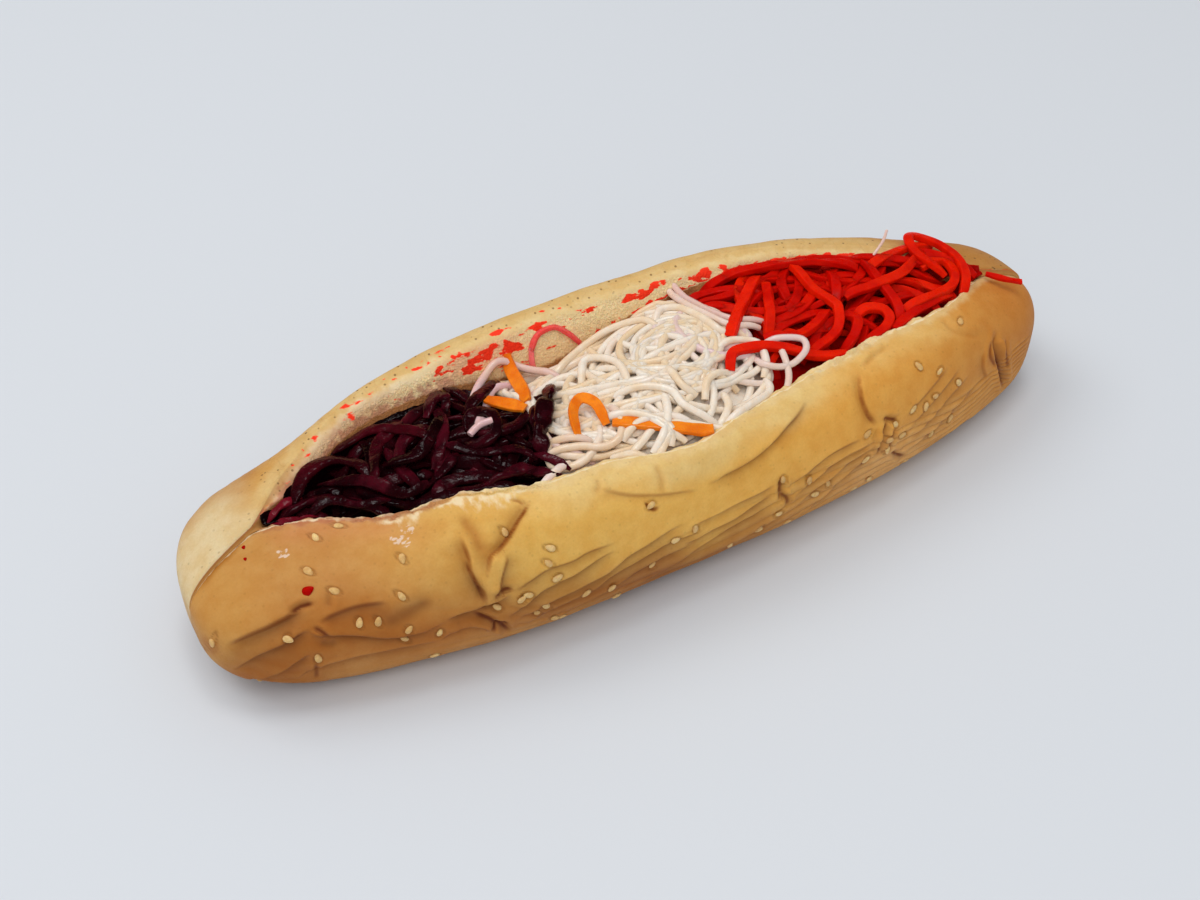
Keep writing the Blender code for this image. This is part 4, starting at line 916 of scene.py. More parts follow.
# How far torn crumb reaches down from the near rim, by station, all in millimetres.
TUFTS = (
    (-150, 0.1), (-128, 0.5), (-112, 0.8), (-104, 1.8), (-99, 1.0), (-92, 3.8), (-87, 4.2), (-82, 1.6),
    (-77, 3.4), (-70, 6.4), (-63, 6.0), (-57, 3.0), (-52, 1.2), (-44, 0.5), (44, 0.5), (56, 1.8), (68, 1.6),
    (84, 0.8), (110, 0.3),
)
# Red stains on the far cut face: station, length below the far crest, reach, all in millimetres.
FACE_STAINS = (
    (-62.6, 2.5, 1.0), (-55.5, 7.1, 1.6), (-50.0, 6.6, 1.3), (-46.9, 5.6, 1.8), (-45.5, 10.1, 2.0),
    (-42.6, 8.6, 2.2), (-38.4, 8.1, 2.4), (-34.1, 7.6, 2.0), (-34.1, 3.5, 1.2), (-30.0, 9.5, 1.6),
    (-20.5, 5.8, 1.2), (-1.3, 6.6, 1.4), (13.6, 7.1, 1.5), (18.0, 6.2, 1.4), (21.5, 5.6, 1.3),
    (33.6, 6.6, 1.6), (39.0, 6.4, 1.6), (45.0, 5.6, 1.4),
)
# Beads of fat on the near skin, glossy and with a painted highlight: station, length below the near crest,
# reach, all in millimetres.
FAT_SPOTS = ((-121.7, 11.5, 2.8), (-92.0, 9.5, 3.6), (-89.5, 6.0, 3.0))


def outward(thing: Thing) -> Thing:
    """Turns the faces of a closed mesh outward, by the sign of its volume.

    Args:
        thing: A closed mesh object.

    Returns:
        The same thing.
    """
    mesh = thing.data
    mesh.calc_loop_triangles()
    corners = np.zeros(len(mesh.loop_triangles) * 3, np.int32)
    mesh.loop_triangles.foreach_get("vertices", corners)
    points = np.zeros(len(mesh.vertices) * 3, np.float32)
    mesh.vertices.foreach_get("co", points)
    a, b, c = points.reshape(-1, 3)[corners.reshape(-1, 3)].transpose(1, 0, 2)
    if float(np.einsum("ij,ij->i", a, np.cross(b, c)).sum()) < 0:
        mesh.flip_normals()
    return thing


@dataclass
class Bread:
    """The roll itself, at a resolution that shows its folds, with its colours laid on point by point."""

    MARKS = {"groove": 0.0, "ring": 0.0, "gap": 9.0, "reach": 9.0, "dark": 0.0}
    PLAIN = {"crumb": 0.0, "wet": 0.0, "specks": 0.0, "stain": -1.0, "tuft": -1.0, "gap": 9.0, "reach": 9.0,
             "dark": 0.0}

    form: RollForm
    stations: int = 478
    near_points: int = 142
    base_points: int = 3
    far_points: int = 27
    face_points: int = 20
    trough_points: int = 7
    lip_points: int = 8
    bare_end: float = 0.012
    pleat_height: float = 0.0005
    seed_reach_mm: float = 4.0
    grain: Grain = field(default_factory=lambda: Grain(21))
    spins: Array = field(
        default_factory=lambda: np.random.default_rng(8).uniform(0, 2 * math.pi, len(SEED_SPOTS_MM))
    )

    def sections(self) -> tuple[Array, Array]:
        """Lays out the roll's points.

        Returns:
            The grid of points, stations by loop points, and each near point's length below the near crest.
        """
        even = np.linspace(-1, 1, self.stations + 2)[1:-1]
        ease = 0.62 * even + 0.38 * np.sin(even * math.pi / 2)
        xs = np.where(ease < 0, -ease * self.form.end_left, ease * self.form.end_right)
        rows, lengths = [], []
        for x in xs:
            near = self.form.near_skin(x)
            length = np.linspace(0, lengths_along(near)[-1], self.near_points)
            near = points_at(near, length)
            far = evenly(self.form.far_skin(x), self.far_points)
            steps = np.linspace(0, 1, self.base_points + 2)[1:-1, None]
            base = near[-1] * (1 - steps) + far[0] * steps
            face, trough, lip = self.form.slit_parts(x)
            face = evenly(face, self.face_points + 1)[1:-1]
            trough = evenly(trough, self.trough_points)
            lip = evenly(lip, self.lip_points + 1)[1:-1]
            loop = np.vstack([near, base, far, face, trough, lip])
            rows.append(np.column_stack([np.full(len(loop), x), loop]))
            lengths.append(length)
        return np.array(rows), np.array(lengths)

    def parts(self) -> list[tuple[slice, slice]]:
        """The loop's points that are near skin, base, far skin, cut face, trough and near lip.

        Returns:
            An index of the grid for each part.
        """
        counts = (self.near_points, self.base_points, self.far_points, self.face_points - 1,
                  self.trough_points, self.lip_points - 1)
        ends = [int(end) for end in np.cumsum((0, *counts))]
        return [np.s_[:, start:end] for start, end in zip(ends, ends[1:])]

    def end_fade(self, x: Array) -> Array:
        """How much relief the skin has at a station, from 0 at the roll's ends to 1."""
        left, right = self.form.end_left, self.form.end_right
        return ramp(x, left, left + self.bare_end) * ramp(x, right, right - self.bare_end)

    def normals(self, grid: Array) -> Array:
        """Outward normals of the grid.

        Args:
            grid: The roll's points, stations by loop points.

        Returns:
            A unit vector for each.
        """
        along = np.gradient(grid, axis=0)
        around = np.roll(grid, -1, axis=1) - np.roll(grid, 1, axis=1)
        normals = np.cross(around, along)
        return normals / (np.linalg.norm(normals, axis=2, keepdims=True) + 1e-12)

    def pleats(self, x: Array, s: Array, total: Array) -> Array:
        """Height in metres of the soft pleats that run along the lower near side.

        Args:
            x: Stations of the near skin's points.
            s: Their lengths below the near crest.
            total: Length of the whole near skin at each station.

        Returns:
            The heights.
        """
        top = total * profile(x, self.form.pleat_top)
        place = np.stack([x * 0.35, s, s * 0], axis=-1)
        share = (s - top) / (total - top)
        phase = (7 + 4 * ramp(x, 0.01, 0.06)) * share + 0.45 * self.grain.at(place, 0.009)
        wave = np.abs(np.sin(math.pi * phase)) ** 0.8 - 0.55
        return 0.0010 * profile(x, self.form.ripple) * wave * ramp(share, 0.0, 0.09) * ramp(share, 1.0, 0.91)

    def rows_between(self, x: Array, low_mm: float, high_mm: float) -> slice | None:
        """The rows of a grid between two stations, or None where it has none there."""
        rows = np.flatnonzero((x[:, 0] > low_mm * MM) & (x[:, 0] < high_mm * MM))
        return slice(int(rows[0]), int(rows[-1]) + 1) if len(rows) else None

    def near_relief(self, grid: Array, s: Array) -> tuple[Array, dict[str, Array]]:
        """Height of the near skin over the smooth form, and what its folds and seeds leave on it.

        Args:
            grid: The near skin's points.
            s: Their lengths below the near crest.

        Returns:
            The height in metres and, by name, how far each point is on a pleat's crown (painted light), in a
            groove, on a shaded facet or in a seed's ring (painted shade), its signed and plain distance in
            millimetres from the nearest painted dark line, and how dark that line is.
        """
        x = grid[..., 0]
        fade = self.end_fade(x)
        height = self.pleats(x, s, s[:, -1:]) * fade
        marks = {name: np.full(x.shape, beyond) for name, beyond in self.MARKS.items()}
        marks["crown"] = np.clip(height / self.pleat_height, 0, 1)
        marks["facet"] = np.clip(-height / self.pleat_height, 0, 1) * 0.62
        place = np.stack([x * 0.5, s, s * 0], axis=-1)
        wobble = 0.3 * self.grain.at(place, 0.011) + 0.12 * self.grain.at(place, 0.003)
        for fold in CREASES:
            part = self.rows_between(x, *fold.span())
            if part is None:
                continue
            gap, near_end = fold.over(x[part] / MM, s[part] / MM + wobble[part])
            rise, shaded, fold_line_shade = fold.across(gap)
            height[part] += rise * MM * near_end
            kept = marks["groove" if fold.style is Fold.VALLEY else "facet"]
            kept[part] = np.maximum(kept[part], fold.shade * near_end * shaded)
            closer = (np.abs(gap) < marks["reach"][part]) & (fold_line_shade > 0)
            for name, value in (("gap", gap), ("reach", np.abs(gap)), ("dark", fold.shade * near_end * fold_line_shade)):
                marks[name][part] = np.where(closer, value, marks[name][part])
        uneven = (
            0.0004 * self.grain.layered(grid * (0.6, 1, 1), 0.017, 2) + 0.00003 * self.grain.at(grid, 0.003)
        )
        height = height + uneven * fade
        for (seed_x, seed_s), spin in zip(SEED_SPOTS_MM, self.spins):
            part = self.rows_between(x, seed_x - self.seed_reach_mm, seed_x + self.seed_reach_mm)
            if part is None:
                continue
            across, up = x[part] / MM - seed_x, seed_s - s[part] / MM
            u = across * math.cos(spin) + up * math.sin(spin)
            v = up * math.cos(spin) - across * math.sin(spin)
            gap = np.hypot(u / 1.75, v / 1.15)
            pit = 0.12 * np.exp(-(((gap - 1.7) / 0.4) ** 2)) - 0.35 * np.exp(-(gap**4))
            height[part] += pit * MM * fade[part]
            marks["ring"][part] = np.maximum(marks["ring"][part], np.exp(-(((gap - 1.1) / 0.2) ** 2)))
        return height, marks

    def near_tints(self, near: dict[str, Array], marks: dict[str, Array]) -> dict[str, Array]:
        """Colour, crumb and fat of the near skin.

        Args:
            near: By name, each point's station and length below the crest in millimetres, and the noises.
            marks: What folds and seeds leave on it.

        Returns:
            By name, the tint, crumb, wet, specks and tuft values.
        """
        x, s, slow, quick, ragged = (near[name] for name in ("x", "s", "slow", "quick", "ragged"))
        skin = graded(x + 6 * slow, DOME_COLOURS)
        pleated = ramp(s + 7 * ramp(x, -66, -96) + 5 * slow, 26, 46)[..., None]
        skin = skin + (graded(x, PLEAT_COLOURS) - skin) * pleated
        lower = ramp(s, 20, 30)
        skin = coated(
            skin,
            # the pale dome, the flush by the beetroot, and the rim: torn, stained, toasted at the left end
            ("#e4c684", ramp(s + 4 * slow, 15, 5) * ramp(x, -72, -40) * ramp(x, 62, 40) * 0.9),
            ("#e2bc74", ramp(s + 4 * slow, 15, 4) * ramp(x, 40, 62) * ramp(x, 112, 95) * 0.7),
            ("#cf7f5c",
             ramp(x, -80, -92) * ramp(x, -128, -118) * ramp(s + 6 * slow, 15, 4) * (0.2 + 0.5 * slow)),
            ("#e2c792",
             ramp(s + 0.8 * ragged, 4.2, 1.2) * ramp(x, -134, -124) * (0.12 + 0.5 * ramp(x, -64, -52))),
            ("#a8584c", ramp(s + 1.2 * ragged, 2.4, 0.4) * ramp(x, -60, -84) * ramp(x, -130, -120) * 0.55),
            ("#a86c26", ramp(s + 0.5 * quick, 2.6, 0.4) * ramp(np.abs(x + 139), 9, 3) * 0.8),
            # painted light: the lit tops of the pleats, and light thrown up from the floor on the lower left
            ("#d8a660", marks["crown"] * ramp(s, 22, 30) * 0.45),
            ("#d8a05c", ramp(s, 40, 56) * ramp(x, -10, -50) * ramp(x, -132, -112) * 0.6),
            # painted shade in the grooves and on the shaded facets of the folds, browner low down, and in the
            # rings round the seeds
            ("#a55e1a", 0.7 * marks["groove"] * (1 - lower)),
            ("#8e5828", 0.85 * marks["groove"] * lower),
            ("#9a5812", 0.85 * marks["facet"] * (1 - lower)),
            ("#824f2c", 0.92 * marks["facet"] * lower),
            ("#7a4a1e", 0.5 * marks["ring"]),
        )
        torn = ramp(profile(x * MM, self.form.torn), 0.45, 0.85)
        wet = np.zeros(x.shape)
        for spot_x, spot_s, reach in FAT_SPOTS:
            wet = np.maximum(wet, ramp(np.hypot(x - spot_x, s - spot_s) + 1.5 * quick, reach, 0.5 * reach))
        tuft = np.clip(1 - s / np.interp(x, *np.array(TUFTS).T), -1, 1)
        return {"tint": skin, "crumb": ramp(s + ragged, 2.2, 0.8) * torn, "wet": wet, "specks": 0.12,
                "tuft": tuft}

    def far_tints(self, far: dict[str, Array], down: Array) -> dict[str, Array]:
        """Colour of the far skin.

        Args:
            far: By name, each point's station in millimetres and the noises.
            down: Each point's length below the far crest, in millimetres.

        Returns:
            By name, the tint and specks values.
        """
        x, slow, quick = far["x"], far["slow"], far["quick"]
        skin = coated(
            np.tile(linear("#bd8440"), (*x.shape, 1)),
            ("#cf9f58", ramp(down + 4 * slow, 20, 6)),
            ("#d8b67a", ramp(down + 1.5 * quick, 9, 3)),
            ("#b07a38", ramp(np.abs(down - 1.2 + 0.5 * quick), 1.1, 0.3) * 0.75),
            ("#dcc79c", ramp(x, -118, -134) * ramp(down, 34, 14) * 0.95),
            ("#b87e3a", ramp(x, 95, 125) * 0.85),
            ("#b07a41", ramp(down, 38, 58) * 0.8),
        )
        return {"tint": skin, "specks": (0.3 + 0.7 * ramp(down, 16, 5)) * (1 - 0.7 * ramp(x, -112, -128))}

    def face_tints(self, face: dict[str, Array], run: Array) -> dict[str, Array]:
        """Colour, crumb and stains of the far cut face.

        Args:
            face: By name, each point's station in millimetres and the noises.
            run: Each point's length below the far crest, in millimetres.

        Returns:
            By name, the tint, crumb, specks and stain values.
        """
        x, ragged = face["x"], face["ragged"]
        low = run[:, -1:] - run
        skin = coated(
            np.tile(linear("#dfbf82"), (*x.shape, 1)),
            ("#e6cd98", ramp(run + ragged, 1.6, 3.4) * 0.9),
            ("#ecdcb8", ramp(run + ragged, 1.6, 4.0) * ramp(x, -50, -66) * 0.8),
            ("#ffe2ac", ramp(run + ragged, 4.8, 7.4) * ramp(np.abs(x), 110, 90)),
            ("#ffd8a0", ramp(run + 1.4 * ragged, 9.0, 14.0) * ramp(x, -60, -45) * 0.8),
            # juice of the beetroot and of the carrot
            ("#a83c44", ramp(low + 2.4 * ragged, 2.6, 0.2) * ramp(x, -30, -60) * 0.6),
            ("#f29a78", ramp(np.abs(x + 42), 20, 6) * ramp(np.abs(run - 8.5), 5.5, 1.5) * 0.5),
            ("#c08058", ramp(low, 9, 2) * ramp(x, -62, -80) * 0.5),
        )
        stain = (0.9 - low / 1.6) * ramp(x, -8, 14)
        for station, length, reach in FACE_STAINS:
            stain = np.maximum(stain, 1 - np.hypot((x - station) * 0.36, run - length) / (1.25 * reach))
        crumb = ramp(run + 1.2 * ragged, 3.6, 6.4) * ramp(x, -126, -112) * ramp(x, 134, 124)
        return {"tint": skin, "crumb": crumb, "specks": ramp(run, 5, 2) * 0.7, "stain": np.clip(stain, -1, 1)}

    def tints(self, grid: Array, s: Array, marks: dict[str, Array]) -> dict[str, Array]:
        """Lays the colours and marks on the roll, part by part.

        Args:
            grid: The roll's points.
            s: Each near point's length below the near crest.
            marks: What folds and seeds leave on the near skin.

        Returns:
            By name, a value for every point of the grid.
        """
        near, base, far, face, inner, lip = self.parts()
        x = grid[..., 0] / MM
        noises = {
            "x": x,
            "slow": self.grain.layered(grid, 0.016),
            "quick": self.grain.layered(grid, 0.0035),
            "ragged": 1.6 * self.grain.layered(grid * (1, 0.6, 0.6), 0.0028)
            + 0.7 * self.grain.at(grid, 0.0011),
        }
        steps = np.linalg.norm(np.diff(grid, axis=1), axis=2)
        start, end = far[1].stop - 1, face[1].stop - 1
        run = np.cumsum(steps[:, start:end], axis=1) / MM
        climb = np.linalg.norm(np.diff(grid[far][:, ::-1], axis=1, prepend=grid[:, start : start + 1]),
                               axis=2)
        down = np.cumsum(climb, axis=1)[:, ::-1] / MM
        slit_left, slit_right = (end / MM for end in self.form.slit)
        opened = ramp(x, slit_left, slit_left + 9) * ramp(x, slit_right, slit_right - 9)
        torn = ramp(profile(x[near] * MM, self.form.torn), 0.45, 0.85)[:, :1]
        near_at, far_at, face_at = (
            {name: noise[part] for name, noise in noises.items()} for part in (near, far, face)
        )
        skin = self.near_tints({**near_at, "s": s / MM}, marks)
        lip_colour = np.repeat(skin["tint"][:, :1], x[lip].shape[1], axis=1)
        cut = {"tint": coated(np.tile(linear("#c08c4e"), (*x[inner].shape, 1)), ("#b57a4a", opened[inner])),
               "crumb": opened[inner]}
        edge = {
            "tint": coated(lip_colour, ("#f6e0b0", opened[lip] * (0.3 + 0.6 * torn)),
                           ("#a8605a", ramp(noises["quick"][lip], -0.2, 0.4) * ramp(x[lip], -40, -60) * 0.5)),
            "crumb": opened[lip] * 0.9 * torn,
        }
        laid = (
            (near, {**skin, **{name: marks[name] for name in ("gap", "reach", "dark")}}),
            (base, {"tint": linear("#a5713d")}),
            (far, self.far_tints(far_at, down)),
            (face, self.face_tints(face_at, run)),
            (inner, cut),
            (lip, edge),
        )
        values = {"tint": np.zeros((*x.shape, 3))}
        values.update({name: np.full(x.shape, plain) for name, plain in self.PLAIN.items()})
        for part, kept in laid:
            for name, value in kept.items():
                values[name][part] = value
        return values

    def build(self) -> Thing:
        """Makes the roll's closed mesh with its attributes.

        Returns:
            The roll.
        """
        grid, s = self.sections()
        near, _, far, face, _, lip = self.parts()
        height = np.zeros(grid.shape[:2])
        height[near], marks = self.near_relief(grid[near], s)
        values = self.tints(grid, s, marks)
        height[far] += 0.0005 * self.grain.layered(grid[far] * (0.7, 1, 1), 0.014)
        height[far] += 0.00015 * self.grain.layered(grid[far] * (0.5, 1, 1), 0.004)
        height[face] += values["crumb"][face] * 0.0005 * self.grain.layered(grid[face], 0.0022)
        height[lip] += 0.0011 * self.grain.layered(grid[lip], 0.0026)
        torn = profile(grid[near][..., 0], self.form.torn)
        height[near] += ramp(s / MM, 3.0, 0.0) * torn * 0.0022 * self.grain.layered(grid[near] + 0.3, 0.0030)
        grid = grid + self.normals(grid) * (height * self.end_fade(grid[..., 0]))[..., None]
        grid[..., 2] = np.maximum(grid[..., 2], 0.0)
        return self.closed(grid, values)

    def closed(self, grid: Array, values: dict[str, Array]) -> Thing:
        """Joins the grid of loops to one closed mesh, with a cap point at each end.

        Args:
            grid: The roll's points, stations by loop points.
            values: By name, a number or colour for each of them.

        Returns:
            The roll.
        """
        rows, loop = grid.shape[:2]
        index = np.arange(rows * loop).reshape(rows, loop)
        here, ahead = index[:-1], index[1:]
        quads = np.stack([here, np.roll(here, -1, 1), np.roll(ahead, -1, 1), ahead], axis=-1).reshape(-1, 4)
        caps = np.array([(self.form.end_left, *self.form.pole(-1)),
                         (self.form.end_right, *self.form.pole(1))])
        faces = [tuple(quad) for quad in quads.tolist()]
        first, last = rows * loop, rows * loop + 1
        for j in range(loop):
            k = (j + 1) % loop
            faces.append((int(index[0, k]), int(index[0, j]), first))
            faces.append((int(index[-1, j]), int(index[-1, k]), last))
        roll = outward(plain_mesh("sesame_roll", np.vstack([grid.reshape(-1, 3), caps]), faces))
        for name, value in values.items():
            ends = [value[end].reshape(loop, -1).mean(0) for end in (0, -1)]
            full = np.vstack([value.reshape(rows * loop, -1), ends])
            store(roll, name, full if full.shape[1] == 3 else full[:, 0])
        return roll

    def relief_at(self, x: float, s: float) -> float:
        """Height of the near skin over the smooth form at a station and length below the crest.

        Args:
            x: The station.
            s: The length below the near crest.

        Returns:
            The height.
        """
        skin = self.form.near_skin(x)
        length = np.array([[s, lengths_along(skin)[-1]]])
        point = np.array([[(x, *points_at(skin, np.array([k]))[0]) for k in length[0]]])
        return float(self.near_relief(point, length)[0][0, 0])

    def skin_frame(self, x: float, s: float) -> tuple[Array, Array, Array]:
        """A point of the near skin, its outward normal and the direction along the roll.

        Args:
            x: The point's station.
            s: Its length below the near crest.

        Returns:
            The point, its normal and the direction.
        """

        def point(station: float, length: float) -> Array:
            """A point of the smooth skin."""
            return np.array([station, *points_at(self.form.near_skin(station), np.array([length]))[0]])

        along = point(x + MM, s) - point(x - MM, s)
        down = point(x, s + MM) - point(x, max(s - MM, 0.0))
        normal = np.cross(down, along)
        return point(x, s), normal / np.linalg.norm(normal), along / np.linalg.norm(along)


# --------------------------------------------------------------------------------------------- geometry nodes
NAMED = "GeometryNodeInputNamedAttribute"
SHADING, MOVED = "GeometryNodeSetShadeSmooth", "GeometryNodeSetPosition"


def nodes_group(name: str, numbers: Sequence[str]) -> tuple[Tree, bpy.types.bpy_prop_collection]:
    """Starts a Geometry Nodes tree that takes a mesh, named sizes and a material.

    Args:
        name: The tree's name.
        numbers: Names of its number inputs.

    Returns:
        The tree, and the sockets that give its inputs.
    """
    tree = bpy.data.node_groups.new(name, "GeometryNodeTree")
    inputs = [("Geometry", "Geometry"), *((number, "Float") for number in numbers), ("Material", "Material")]
    for label, kind in inputs:
        tree.interface.new_socket(label, in_out="INPUT", socket_type=f"NodeSocket{kind}")
    tree.interface.new_socket("Geometry", in_out="OUTPUT", socket_type="NodeSocketGeometry")
    return tree, add(tree, "NodeGroupInput", out=None).outputs


def finish_group(tree: Tree, geometry: Socket, material: Socket, crisp: bool = False) -> None:
    """Ends a tree: real geometry, smooth but for the edges of a crisp cut, with its material.

    Args:
        tree: The Geometry Nodes tree.
        geometry: What it has made.
        material: The socket that gives the material.
        crisp: Whether sharp edges stay sharp.
    """
    real = add(tree, "GeometryNodeRealizeInstances", {"Geometry": geometry})
    smooth = add(tree, SHADING, {"Geometry": real})
    if crisp:
        angle = add(tree, "GeometryNodeInputMeshEdgeAngle", out="Unsigned Angle")
        sharp = add(tree, "FunctionNodeCompare", {0: angle, 1: math.radians(CRISP_DEGREES)},
                    operation="GREATER_THAN")
        edges = {"Geometry": smooth, "Selection": sharp, "Shade Smooth": False}
        smooth = add(tree, SHADING, edges, domain="EDGE")
    dressed = add(tree, "GeometryNodeSetMaterial", {"Geometry": smooth, "Material": material})
    add(tree, "NodeGroupOutput", {0: dressed}, out=None)


def roughened(tree: Tree, mesh: Socket, grain: Socket, depth: Socket) -> Socket:
    """Moves a mesh in and out along its normals by noise.

    Args:
        tree: The Geometry Nodes tree.
        mesh: The mesh.
        grain: Size of the noise's grains.
        depth: How far the noise moves it.

    Returns:
        The moved mesh.
    """
    scale = add(tree, MATH, {0: 1.0, 1: grain}, operation="DIVIDE")
    noise = {"Vector": add(tree, "GeometryNodeInputPosition"), "Scale": scale, "Detail": 2.0}
    centred = add(tree, MATH, {0: add(tree, NOISE, noise), 1: 0.5}, operation="SUBTRACT")
    deep = add(tree, MATH, {0: centred, 1: depth}, operation="MULTIPLY")
    normal = add(tree, "GeometryNodeInputNormal")
    offset = add(tree, "ShaderNodeVectorMath", {0: normal, "Scale": deep}, operation="SCALE")
    return add(tree, MOVED, {"Geometry": mesh, "Offset": offset})


def grown(thing: Thing, tree: Tree, settings: dict[str, object]) -> Thing:
    """Runs Geometry Nodes on a thing and keeps what they make as its plain mesh.

    Args:
        thing: A mesh object at the origin.
        tree: The Geometry Nodes tree.
        settings: Values of the tree's inputs by name.

    Returns:
        The same thing.
    """
    modifier = thing.modifiers.new(tree.name, "NODES")
    modifier.node_group = tree
    for item in tree.interface.items_tree:
        if item.item_type == "SOCKET" and item.in_out == "INPUT" and item.name in settings:
            modifier[item.identifier] = settings[item.name]
    bpy.context.view_layer.update()
    graph = bpy.context.evaluated_depsgraph_get()
    mesh = bpy.data.meshes.new_from_object(thing.evaluated_get(graph), preserve_all_data_layers=True,
                                           depsgraph=graph)
    thing.modifiers.remove(modifier)
    thing.data = mesh
    return thing


# ---------------------------------------------------------------------------------------- seeds and chips
@dataclass(frozen=True)
class HulledSeed(Flesh):
    """Hulled sesame: creamy yellow, waxy, paler in the middle."""

    def make(self) -> Material:
        """Builds the material, whose tone goes from toasted to pale.

        Returns:
            The material.
        """
        material, tree, shader = self.start()
        tone = add(tree, ATTRIBUTE, out="Fac", attribute_name="tone")
        patch = add(tree, RANGE, {0: grain_at(tree, 0.9, 2.0), 1: 0.3, 2: 0.7}, **SMOOTH)
        toasted = add(tree, RANGE, {0: patch, 4: 0.35}, **SMOOTH)
        colour = painted(tree, rgba("#cf9f5e"), (tone, "#e9ca8c"), (toasted, "#b9864a"))
        relief = {"Height": grain_at(tree, 0.3), "Distance": 0.05 * MM, "Strength": 0.5}
        wire(tree, shader, {"Base Color": colour, "Normal": add(tree, "ShaderNodeBump", relief)})
        return material


@dataclass(frozen=True)
class SeedShape:
    """Geometry Nodes that set a flat drop on each point of a mesh."""

    length_mm: float = 3.1
    width_mm: float = 1.95
    thickness_mm: float = 1.1
    taper: float = 0.42
    segments: int = 16
    rings: int = 12

    def tree(self) -> Tree:
        """Builds the tree, whose points carry the seed's size, its normal and its direction.

        Returns:
            The tree.
        """
        tree, entry = nodes_group("seeds_on_points", ("Length", "Width", "Thickness", "Taper"))
        ball = add(tree, "GeometryNodeMeshUVSphere",
                   {"Segments": self.segments, "Rings": self.rings, "Radius": 0.5})
        turned = add(tree, "GeometryNodeTransform", {"Geometry": ball, "Rotation": (0, math.pi / 2, 0)})
        place = add(tree, "GeometryNodeInputPosition")
        forward = add(tree, "ShaderNodeSeparateXYZ", {0: place})
        slim = add(tree, MATH, {0: forward, 1: entry["Taper"]}, operation="MULTIPLY")
        slim = add(tree, MATH, {0: 1.0, 1: slim}, operation="SUBTRACT")
        wide = add(tree, MATH, {0: slim, 1: entry["Width"]}, operation="MULTIPLY")
        scale = add(tree, "ShaderNodeCombineXYZ", {0: entry["Length"], 1: wide, 2: entry["Thickness"]})
        drop = add(tree, "ShaderNodeVectorMath", {0: place, 1: scale}, operation="MULTIPLY")
        shaped = add(tree, MOVED, {"Geometry": turned, "Position": drop})
        normal, along, size = (
            add(tree, NAMED, {"Name": name}, data_type=kind)
            for name, kind in (("normal", "FLOAT_VECTOR"), ("along", "FLOAT_VECTOR"), ("size", "FLOAT"))
        )
        axes = {"Primary Axis": normal, "Secondary Axis": along}
        turn = add(tree, "FunctionNodeAxesToRotation", axes, primary_axis="Z", secondary_axis="X")
        inputs = {"Points": entry["Geometry"], "Instance": shaped, "Rotation": turn, "Scale": size}
        finish_group(tree, add(tree, "GeometryNodeInstanceOnPoints", inputs), entry["Material"])
        return tree

    def settings(self, material: Material) -> dict[str, object]:
        """Values of the tree's inputs.

        Args:
            material: The seeds' material.

        Returns:
            A value for each input by name.
        """
        sizes = {"Length": self.length_mm, "Width": self.width_mm, "Thickness": self.thickness_mm}
        lengths = {name: size * MM for name, size in sizes.items()}
        return {"Taper": self.taper, "Material": material, **lengths}


@dataclass(frozen=True)
class Spot:
    """Where a small thing lies on the bread: its place, outward normal, direction, size and tone."""

    place: Array
    normal: Array
    along: Array
    size: float
    tone: float


def sprinkled(name: str, spots: Sequence[Spot], shape: SeedShape, material: Material) -> Thing:
    """Makes one mesh of small things that lie at the given spots.

    Args:
        name: The piece's name.
        spots: Where the things lie.
        shape: Their shape.
        material: Their material.

    Returns:
        The piece.
    """
    thing = plain_mesh(name, np.array([spot.place for spot in spots]), [])
    for label in ("normal", "along"):
        layer = thing.data.attributes.new(label, "FLOAT_VECTOR", "POINT")
        values = np.array([getattr(spot, label) for spot in spots], np.float32)
        layer.data.foreach_set("vector", values.ravel())
    for label in ("size", "tone"):
        store(thing, label, np.array([getattr(spot, label) for spot in spots]))
    return grown(thing, shape.tree(), shape.settings(material))


